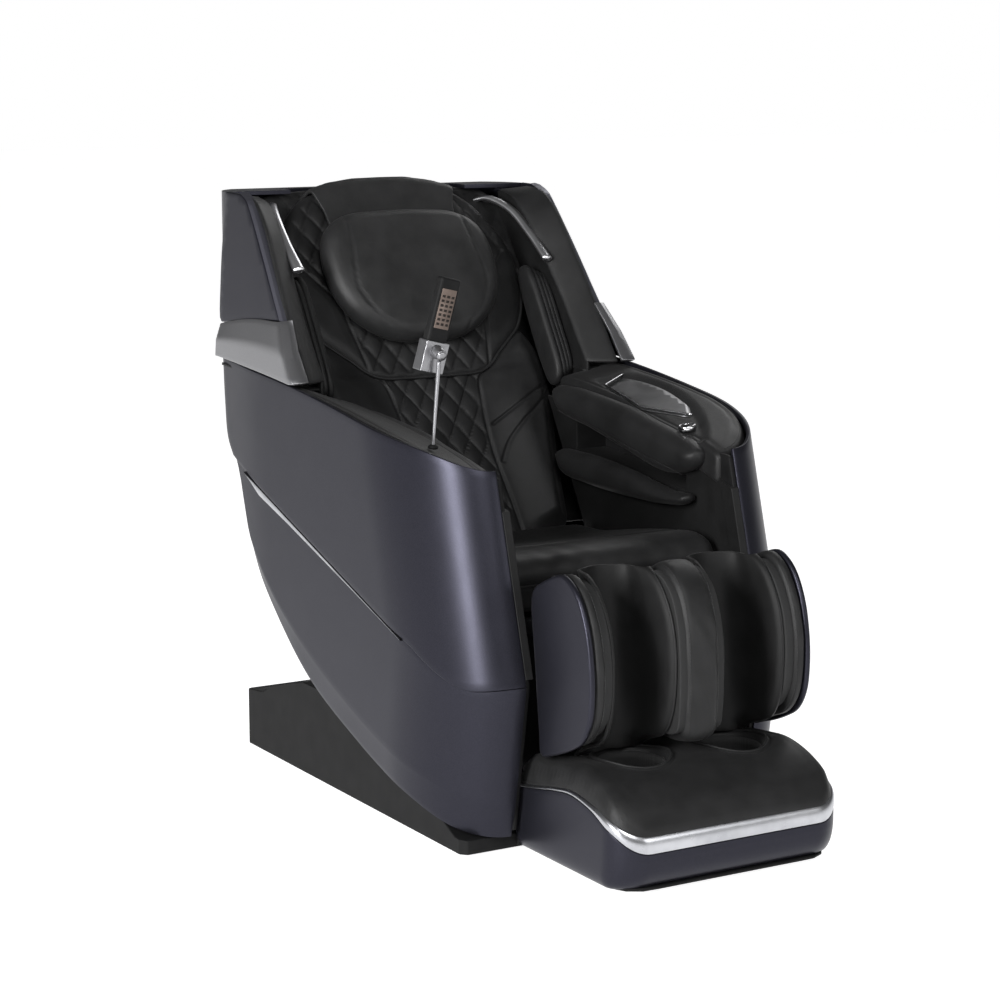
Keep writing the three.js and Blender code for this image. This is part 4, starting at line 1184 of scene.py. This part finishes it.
def build_control_knob():
    ring = lathe("control_knob_ring", [(14, 0), (17, 0), (17.6, 2), (17.6, 7), (16.6, 9.6),
                                       (14, 10), (12.6, 8.6), (12.2, 6.5), (3, 6.2)],
                 KNOB_SEAT, KNOB_AXIS)
    add_bevel(ring, 0.5, 2, 40)
    dress(ring, CHROME, "knob", "control_knob")
    cap = lathe("control_knob_cap", [(3, 6), (11.6, 6), (11.6, 7.6), (10.4, 8.8), (2, 9.0)],
                KNOB_SEAT, KNOB_AXIS)
    dress(cap, BLACK, "knob")


def loaf(name, outline, x0, x1, sign, radius=14, crown=0, relief=None, spacing=6):
    """Cushion with the given outline in side view, running from x0 to x1, with rounded ends."""
    edge = catmull(outline, int(outline_length(outline) / spacing), closed=True)
    normal = outward_normals(edge, closed=True)
    radius = min(radius, (x1 - x0) / 2)
    near = radius * (1 - np.cos(np.linspace(0, math.pi / 2, 7)))
    middle = np.arange(x0 + radius, x1 - radius, spacing)
    xs = np.unique(np.round(np.concatenate([x0 + near, middle, x1 - near]), 3))
    rows = []
    for x in xs:
        d = min(x - x0, x1 - x)
        inset = radius * (1 - math.sqrt(max(0, 1 - (1 - min(d / radius, 1)) ** 2)))
        bulge = crown * (1 - ((x - (x0 + x1) / 2) / ((x1 - x0) / 2)) ** 2)
        move = np.full(len(edge), bulge - inset)
        if relief:
            move = move + relief(x, edge[:, 0], edge[:, 1], d)
        spot = edge + normal * move[:, None]
        rows.append(np.column_stack([np.full(len(edge), sign * x), spot]))
    rings, n = len(rows), len(edge)
    caps = [tuple(range(n)), tuple(reversed(range((rings - 1) * n, rings * n)))]
    return mesh_object(name, np.array(rows).reshape(-1, 3),
                       grid_faces(rings, n, wrap_cols=True) + caps)


FOREARM_UPPER = [(262, 740), (200, 747), (157, 745), (70, 738), (-17, 729), (-71, 718),
                 (-160, 703), (-225, 688), (-252, 674), (-244, 648), (-155, 622), (-2, 647),
                 (120, 672), (240, 696)]
FOREARM_LOWER = [(240, 612), (156, 620), (60, 617), (-17, 610), (-168, 590), (-226, 588),
                 (-222, 574), (-122, 558), (-88, 557), (20, 556), (130, 560), (220, 572)]


def forearm_seam(y):
    return 0.155 * (y - 20) + 668


def build_forearm_pads(side, sign):
    def relief(a, b, distance):
        return -1.8 * seam(b - forearm_seam(a), 2.6) * smoothstep(6, 16, distance)

    drop = np.array([0, 0 if side == "left" else RIGHT_ARM_DROP])
    near, upper_far, lower_far = 206, 262, 246
    upper = pad(f"{side}_forearm_bolster_upper", np.array(FOREARM_UPPER) - drop,
                turned(side_plane(sign), near, upper_far), near, upper_far, 28, crown=3,
                relief=relief, spacing=5)
    dress(upper, LEATHER, "shell", f"{side}_forearm_pad_upper", padded=0.9)
    lower = pad(f"{side}_forearm_bolster_lower", FOREARM_LOWER,
                turned(side_plane(sign), near, lower_far), near, lower_far, 20, crown=5,
                spacing=5)
    dress(lower, LEATHER, "shell", f"{side}_forearm_pad_lower", padded=0.85)
    ys = np.linspace(-225, 225, 60)
    seam_path = np.column_stack([np.full(60, sign * (near + 0.2)), ys, forearm_seam(ys)])
    thread = stitch_row(f"{side}_forearm_stitching", seam_path)
    dress(thread, THREAD, "shell")
    liner = refined(f"{side}_arm_liner", f"{side}_arm_lining", 3.5, 3, 30)
    # The arm lining gets the darker leather as painted shade.
    dress(liner, LEATHER_PAINTED_SHADE, "shell", f"{side}_arm_liner")


for SIDE, SIGN in SIDES:
    build_armrest(SIDE, SIGN)
    build_forearm_pads(SIDE, SIGN)
build_control_knob()

# ---- Seat -----------------------------------------------------------------------------------
SEAT_OUTLINE = [(190, 462), (60, 478), (-60, 500), (-150, 514), (-215, 522), (-258, 524),
                (-290, 515), (-305, 494), (-303, 462), (-288, 430), (-244, 409), (-60, 404),
                (140, 403), (186, 417)]


def seat_relief(x, y, z, d):
    """Soft hollow where one sits, a roll at the front and fine creases across the roll."""
    top = smoothstep(440, 470, z)
    hollow = -9 * top * math.exp(-(x / 150) ** 2) * np.exp(-((y - 10) / 150) ** 2)
    groove = -5.5 * seam(y + 196, 5) * top
    front = smoothstep(-190, -230, y) * top
    creases = front * (0.7 * np.sin((x + 0.5 * y) / 9.0) * np.sin(x / 61.0)
                       + 0.8 * np.sin((x - 0.3 * y) / 31.0))
    underside = -4.5 * seam(z - 470, 3.5) * smoothstep(-280, -300, y)
    return hollow + groove + creases + underside


def build_seat():
    seat = loaf("seat_top_cushion", SEAT_OUTLINE, -236, 236, 1, 26, 2, seat_relief, spacing=6)
    dress(seat, LEATHER, "seat", "seat_cushion", padded=0.8)
    xs = np.linspace(-222, 222, 90)
    line = np.column_stack([xs, np.full(90, -303.0), np.full(90, 470.0)])
    piping = sweep("seat_front_piping", line, 2.4, sides=8)
    dress(piping, LEATHER, "seat", padded=1.0)


build_seat()
for SIDE, SIGN in SIDES:
    skirt = slab(f"{SIDE}_seat_skirt", np.array([(26, 112), (234, 112), (234, 400), (26, 400)]),
                 front_plane(SIGN), -254, -249.5, 24)
    dress(skirt, BLACK, "seat")

# ---- Calf unit ------------------------------------------------------------------------------
CALF_COVER = [(-500, 531), (-530, 520), (-556, 496), (-580, 450), (-594, 390), (-597, 335),
              (-590, 285), (-568, 248), (-532, 226), (-470, 202), (-432, 194), (-424, 240),
              (-410, 360), (-398, 470), (-406, 490), (-430, 506)]
CALF_BAND = [(-500, 527), (-530, 515), (-556, 488), (-580, 442), (-592, 390), (-594, 345),
             (-587, 290), (-560, 249), (-520, 230), (-452, 212), (-432, 300), (-422, 400),
             (-420, 478), (-450, 508)]
CALF_CENTRE = [(-470, 520), (-500, 531), (-530, 524), (-562, 498), (-584, 450), (-594, 400),
               (-598, 330), (-596, 270), (-588, 236), (-560, 225), (-500, 224), (-458, 230),
               (-444, 320), (-430, 420), (-428, 490)]
CALF_FRONT = profile([(190, -470), (205, -486), (222, -522), (232, -550), (250, -570), (290, -586),
                      (345, -592), (400, -589), (450, -575), (495, -546), (515, -522), (528, -495)])


def calf_floor(z):
    return -430 - (486 - z) * 0.1186


def build_calf_side(side, sign):
    cover = pad(f"{side}_calf_cover", CALF_COVER, side_plane(sign), 222.8, 234.6, 7, crown=1.5,
                spacing=7)
    dress(cover, NAVY, "calf_rest", f"{side}_calf_outer_cover")
    band = loaf(f"{side}_calf_band", CALF_BAND, 201, 223, sign, 9, 2.5,
                lambda x, y, z, d: 0.8 * np.sin(z / 13.0) * np.sin(z / 37.0), spacing=5)
    dress(band, LEATHER, "calf_rest", f"{side}_calf_side_pad", padded=0.8)
    centre = np.mean(CALF_BAND, axis=0)
    gap_shape = centre + (np.array(CALF_BAND) - centre) * 0.93
    gap = loaf(f"{side}_calf_gap_cloth", gap_shape, 184, 203, sign, 3, 0, spacing=9)
    dress(gap, MESH, "calf_rest", padded=0.3)
    edge = catmull(CALF_BAND, 160, closed=True)
    front = edge[(edge[:, 1] > 236) & (edge[:, 1] < 520) & (edge[:, 0] < -505)]
    front = front[np.argsort(front[:, 1])]
    thread = stitch_row(f"{side}_calf_band_stitching",
                        np.column_stack([np.full(len(front), sign * 204.5), front - [1.2, 0]]))
    dress(thread, THREAD, "calf_rest")

    zs = np.concatenate([np.linspace(198, 250, 8), np.linspace(258, 490, 26),
                         np.linspace(496, 524, 8)])
    rows = []
    for z in zs:
        lead = float(CALF_FRONT(z))
        back = float(calf_floor(z))
        depth = back - lead
        path = [(184, lead + 12), (181, lead + 9), (177, lead + 12), (173, lead + 0.35 * depth),
                (166, lead + 0.72 * depth), (148, back - 10), (118, back), (88, back - 6),
                (68, lead + 0.76 * depth), (60, lead + 0.4 * depth), (54, lead + 16),
                (50, lead + 10), (46, lead + 14)]
        line = catmull(path, 56)
        rows.append(np.column_stack([sign * line[:, 0], line[:, 1], np.full(56, z)]))
    liner = grid_object(f"{side}_calf_channel", np.array(rows))
    solid = add_solidify(liner, 6, 0)
    add_bevel(solid, 2, 2, 50)
    # The calf channel gets the darker leather as painted shade in its deep parts.
    dress(liner, LEATHER_PAINTED_SHADE, "calf_rest", padded=0.5)
    for label, x in (("outer", 181), ("inner", 50)):
        line = np.column_stack([np.full(40, sign * x), CALF_FRONT(np.linspace(232, 520, 40)) + 9,
                                np.linspace(232, 520, 40)])
        piping = sweep(f"{side}_calf_channel_{label}_piping", line, 2.6, sides=8)
        dress(piping, LEATHER, "calf_rest", padded=1.0)


def calf_centre_relief(x, y, z, d):
    """Loose leather folds over the middle pad."""
    return 2.0 * math.exp(-(x / 30) ** 2) * np.sin(z / 29.0) \
        + 1.2 * np.sin((z + 2.2 * x) / 15.0) * smoothstep(240, 300, z) * smoothstep(480, 420, z)


def build_calf_centre():
    centre = loaf("calf_middle_pad", CALF_CENTRE, -34, 34, 1, 13, 5, calf_centre_relief,
                  spacing=4.5)
    dress(centre, LEATHER, "calf_rest", "calf_center_pad", padded=0.7)
    middle = np.mean(CALF_CENTRE, axis=0)
    gap_shape = middle + (np.array(CALF_CENTRE) - middle) * 0.93
    gap = loaf("calf_middle_gap_cloth", gap_shape, -47, 47, 1, 3, 0, spacing=9)
    dress(gap, MESH, "calf_rest", padded=0.3)
    edge = catmull(CALF_CENTRE, 170, closed=True)
    front = edge[(edge[:, 1] > 240) & (edge[:, 0] < -500)]
    front = front[np.argsort(front[:, 1])]
    for side, sign in SIDES:
        thread = stitch_row(f"calf_middle_stitching_{side}",
                            np.column_stack([np.full(len(front), sign * 29.0), front
                                             - [1.5, 0]]))
        dress(thread, THREAD, "calf_rest")


for SIDE, SIGN in SIDES:
    build_calf_side(SIDE, SIGN)
build_calf_centre()

# ---- Foot unit ------------------------------------------------------------------------------
TRIM_LINE = profile([(-350, 125), (-358, 126), (-430, 138), (-485, 149), (-541, 156), (-605, 147),
                     (-640, 138), (-671, 126), (-706, 106)])
TRIM_UNDER = profile([(-350, 120), (-358, 121), (-430, 133), (-485, 144), (-541, 150),
                      (-605, 139), (-640, 125), (-671, 108), (-706, 77)])
FOOT_TOP = profile([(-350, 184), (-364, 186), (-429, 188), (-500, 196), (-560, 199),
                    (-620, 184), (-670, 152), (-699, 120), (-712, 108)])
WELLS = [(104, -525), (-104, -525)]
WELL_RADII = (62, 68)


def foot_plan(inset, corner=62):
    """Plan of the foot unit, from its rear right corner round the front to the rear left."""
    half, front, rear = 240 - inset, -705 + inset, -358 - inset
    radius = corner - inset * 0.5
    arc = np.linspace(0, math.pi / 2, 14)
    right = [(-half, rear)]
    right += [(-half + radius - radius * math.cos(t), front + radius - radius * math.sin(t))
              for t in arc]
    left = [(-x, y) for x, y in reversed(right)]
    return np.array(right + left)


def well_ring(well, count, grow=0.0):
    angles = np.linspace(0, 2 * math.pi, count, endpoint=False)
    return np.column_stack([well[0] + (WELL_RADII[0] + grow) * np.cos(angles),
                            well[1] + (WELL_RADII[1] + grow) * np.sin(angles)])


def well_reach(points, well):
    """Distance from a well's middle, as a share of its radii: 1 on the well's rim."""
    return np.hypot((points[..., 0] - well[0]) / WELL_RADII[0],
                    (points[..., 1] - well[1]) / WELL_RADII[1])


def foot_surface(points, outline):
    x, y = points[:, 0], points[:, 1]
    d = edge_distance(points, outline)
    base = TRIM_LINE(y) + 1.5
    top = FOOT_TOP(y) + 3.0 * np.cos(np.clip(x / 240, -1, 1) * math.pi / 2)
    swell = np.sqrt(1 - (1 - np.clip(d / 34, 0, 1)) ** 2)
    rear = smoothstep(-368, -358, y)
    z = base + (np.maximum(top, base + 4) - base) * np.maximum(swell, rear * 0.9)
    for well in WELLS:
        gap = (well_reach(points, well) - 1) * 65
        z -= 9 * (1 - np.sqrt(1 - (1 - np.clip(gap / 9, 0, 1)) ** 2))
        z -= 1.6 * seam(gap - 13, 2.0)
        z += 2.0 * seam(gap - 7, 6)
    z -= 1.4 * seam(d - 40, 1.8) * smoothstep(-400, -470, y)
    z += 0.7 * np.sin(x / 37.0) * np.sin(y / 29.0)
    return z


def foot_pad_triangles(outline, spacing=7.0, ring_count=72):
    """Even triangles over the pad's plan, dense round the wells and open inside them."""
    spots = staggered_grid(outline, spacing)
    keep = inside(spots, outline) & (edge_distance(spots, outline) > spacing / 2)
    for well in WELLS:
        keep &= well_reach(spots, well) > 1.3
    rings, edges, start = [], [], len(outline)
    for well in WELLS:
        for grow in (0, 1.5, 4, 7, 10, 12, 13.5, 15, 18):
            if grow == 0:
                edges += [(start + i, start + (i + 1) % ring_count) for i in range(ring_count)]
            rings.append(well_ring(well, ring_count, grow))
            start += ring_count
    points = np.vstack([outline] + rings + [spots[keep]])
    result = delaunay_2d_cdt([Vector(p) for p in points], edges,
                             [list(range(len(outline)))], 1, 1e-5)
    flat = np.array([tuple(p) for p in result[0]])
    faces = [tuple(f) for f in result[2]
             if all(well_reach(flat[list(f)].mean(axis=0), well) > 0.999 for well in WELLS)]
    return flat, faces


def hang_rim(verts, faces, edge_drop=7, well_drop=70, well_taper=0.985):
    """Adds walls that hang from the pad's outer edge and, tapered, down into the wells."""
    below = {}
    for edge in open_edges(faces):
        for k in edge:
            if k in below:
                continue
            x, y, z = verts[k]
            well = min(WELLS, key=lambda w: abs(w[0] - x))
            if well_reach(np.array([x, y]), well) < 1.02:
                x, y = (m + (c - m) * well_taper for m, c in zip(well, (x, y)))
                z -= well_drop
            else:
                z -= edge_drop
            below[k] = len(verts)
            verts.append((x, y, z))
    faces += [(b, a, below[a], below[b]) for a, b in open_edges(faces)]


def build_foot_pad():
    plan = foot_plan(5)
    outline = resample(np.vstack([plan, plan[:1]]), 230, closed=True)
    flat, faces = foot_pad_triangles(outline)
    verts = list(map(tuple, np.column_stack([flat, foot_surface(flat, outline)])))
    hang_rim(verts, faces)
    dress(mesh_object("foot_top_pad", verts, faces), LEATHER, "foot_unit", "foot_pad",
          padded=0.85)
    for number, well in enumerate(WELLS):
        ring = well_ring(well, 90, 7)
        path = np.column_stack([ring, foot_surface(ring, outline) + 0.2])
        bead = sweep(f"foot_well_piping_{number + 1}", path, 2.2, closed=True, sides=8)
        dress(bead, LEATHER, "foot_unit", padded=1.0)
        cup = [np.column_stack([well_ring(well, 60, -1.5 - 9 * share ** 2),
                                np.full(60, 188 - 122 * share)])
               for share in np.linspace(0, 1, 10)]
        lining = grid_object(f"foot_well_lining_{number + 1}", np.array(cup), wrap_cols=True)
        add_solidify(lining, 2, 0)
        dress(lining, MESH, "foot_unit", padded=0.4)


def build_foot_trim():
    """Bright band: broad across the front, drawn out to a thin line along each side."""
    plan = resample(foot_plan(0), 260)
    rows = []
    for spot, out in zip(plan, outward_normals(plan)):
        top, low = float(TRIM_LINE(spot[1])), float(TRIM_UNDER(spot[1]))
        tall = top - low
        section = [(-8, top + 1.5), (-4.5, top + 1.0), (-0.2 - 0.04 * tall, top - 0.22 * tall),
                   (0.3, low + 0.45 * tall), (-0.1, low + 0.6), (-2.0, low), (-8, low)]
        rows.append([(spot[0] + out[0] * n, spot[1] + out[1] * n, z) for n, z in section])
    trim = grid_object("foot_front_trim", np.array(rows), wrap_cols=True)
    add_bevel(trim, 0.8, 2, 25)
    dress(trim, TRIM, "foot_unit", "foot_trim")


# Rounding of the housing's lower edge: height, then how far it stands in at the side and front.
HOUSING_EDGE = [(9, 13, 34), (12, 8, 27), (17, 4.5, 20), (24, 2, 14), (33, 0.8, 8.5), (43, 0.5, 4.5),
                (54, 0.5, 2), (64, 0.5, 0.8)]


def build_foot_housing():
    """Painted shell with softly rounded lower edges, open at the top under the pad."""
    plan = resample(foot_plan(0), 240)
    normal = outward_normals(plan)
    facing = np.clip(-normal[:, 1], 0, 1)
    top = TRIM_UNDER(plan[:, 1]) - 0.8
    rows = []
    for z, side_inset, front_inset in HOUSING_EDGE:
        inset = side_inset + (front_inset - side_inset) * facing
        rows.append(np.column_stack([plan - normal * inset[:, None], np.full(240, z)]))
    for share in np.linspace(0.15, 1, 7):
        rows.append(np.column_stack([plan - normal * 0.5, 64 + (top - 64) * share]))
    wall = grid_object("foot_housing", np.array(rows))
    face = wall.data.polygons[20]
    if face.normal.dot(Vector((*face.center.xy, 0))) < 0:
        wall.data.flip_normals()
    add_solidify(wall, 5)
    add_bevel(wall, 1.0, 2, 50)
    dress(wall, NAVY, "foot_unit", "foot_shell")
    base = slab("foot_housing_floor", foot_plan(16), plan_plane(), 8.5, 13, 30)
    dress(base, BLACK, "foot_unit")
    rear = slab("foot_housing_rear", np.array([(-238, 10), (238, 10), (238, 122), (-238, 122)]),
                front_plane(), -364, -359, 30)
    dress(rear, BLACK, "foot_unit")
    for x in (-190, 190):
        for y in (-400, -640):
            rest = lathe(f"foot_housing_pad_{x}_{-y}", [(3, 0), (13, 0), (14, 2), (14, 8), (3, 8)],
                         (x, y, 3), (0, 0, 1), 20)
            dress(rest, RUBBER, "foot_unit")


build_foot_pad()
build_foot_trim()
build_foot_housing()

# ---- Base, handset and stand ----------------------------------------------------------------
BASE = refined("base_cover", "base_housing", 10, 5, 25)
dress(BASE, BLACK, "base", "base_cover")

CLAMP_ORIGIN = np.array([-308.0, -171.0, 875.0])
CLAMP_TURN = np.array(Euler((0.06, 0.24, 0.10), "ZYX").to_matrix())


STAND_FOOT, STAND_TOP = np.array([-310.0, -184.0, 716.0]), np.array([-304.0, -197.0, 875.0])


def at_clamp(points):
    return CLAMP_ORIGIN + np.asarray(points, float) @ CLAMP_TURN.T


def block(name, x0, x1, y0, y1, z0, z1, place=lambda p: p):
    corners = [(x, y, z) for z in (z0, z1) for y in (y0, y1) for x in (x0, x1)]
    faces = [(0, 2, 3, 1), (4, 5, 7, 6), (0, 1, 5, 4), (2, 6, 7, 3), (0, 4, 6, 2), (1, 3, 7, 5)]
    return mesh_object(name, place(np.array(corners, float)), faces)


def build_handset():
    body = refined("remote_handset", "handset_body", 5, 5, 30)
    dress(body, BLACK, "handset", "remote_handset")
    window = block("handset_face", -16, 16, -10.9, -9.8, 58, 130, at_clamp)
    add_bevel(window, 0.4, 2, 40)
    dress(window, PRINT, "handset")
    for row, column in np.ndindex(7, 3):
        x, z = -10 + column * 10, 66 + row * 8.4
        key = block(f"handset_key_{row}_{column}", x - 3.2, x + 3.2, -11.5, -10.8, z - 2.2,
                    z + 2.2, at_clamp)
        add_bevel(key, 0.3, 1, 40)
        dress(key, BRONZE, "handset")


def build_stand():
    clamp = refined("remote_clamp", "handset_clamp", 2.2, 3, 30)
    dress(clamp, SILVER, "clamp", "remote_clamp")
    axis = at_clamp([(0, -36, 12)])[0] - at_clamp([(0, -12, 17)])[0]
    screw = lathe("handset_clamp_screw", [(9, 0), (12.8, 0.4), (12.6, 5), (8.2, 23), (7.4, 24.2),
                                          (3, 24.4)], at_clamp([(0, -12.5, 17)])[0], axis, 28)
    dress(screw, SILVER, "clamp")
    rod = sweep("handset_stand_rod", np.linspace(STAND_FOOT, STAND_TOP, 24), 4.0, sides=14,
                taper=lambda t: 0.72 + 0.28 * t)
    dress(rod, SILVER, "stand", "remote_stand")
    collar = lathe("handset_stand_collar", [(4, 0), (9, 0), (9, 4), (6, 7), (4, 7.5)],
                   STAND_FOOT - [0, 0, 0.5], (0.02, -0.09, 1))
    dress(collar, BLACK, "stand")


PRINT = moulded("handset_print", (0.085, 0.065, 0.055), (0.14, 0.11, 0.095), 0.5, 300, 0.05)
BRONZE = moulded("handset_bronze", (0.012, 0.010, 0.009), (0.022, 0.018, 0.016), 0.45, 600, 0.1)
build_handset()
build_stand()

# ---- Materials on CAD nodes that stay as they are -------------------------------------------
for NODE in NODES:
    if any(k in NODE for k in ("frame", "carriage", "kneading", "actuator_rod")):
        paint_node(NODE, STEEL)
    elif "massage_roller" in NODE or NODE == "foot_roller":
        paint_node(NODE, ROLLER)
    elif any(k in NODE for k in ("wheel", "switch")):
        paint_node(NODE, RUBBER)
    elif any(k in NODE for k in ("housing", "liner")):
        paint_node(NODE, BLACK)
    elif any(k in NODE for k in ("accent", "trim", "stand", "clamp", "knob")):
        paint_node(NODE, SILVER)
    elif any(k in NODE for k in ("panel", "shell", "cover")):
        paint_node(NODE, NAVY)
    else:
        paint_node(NODE, LEATHER)
paint_node("base_cover", BLACK)
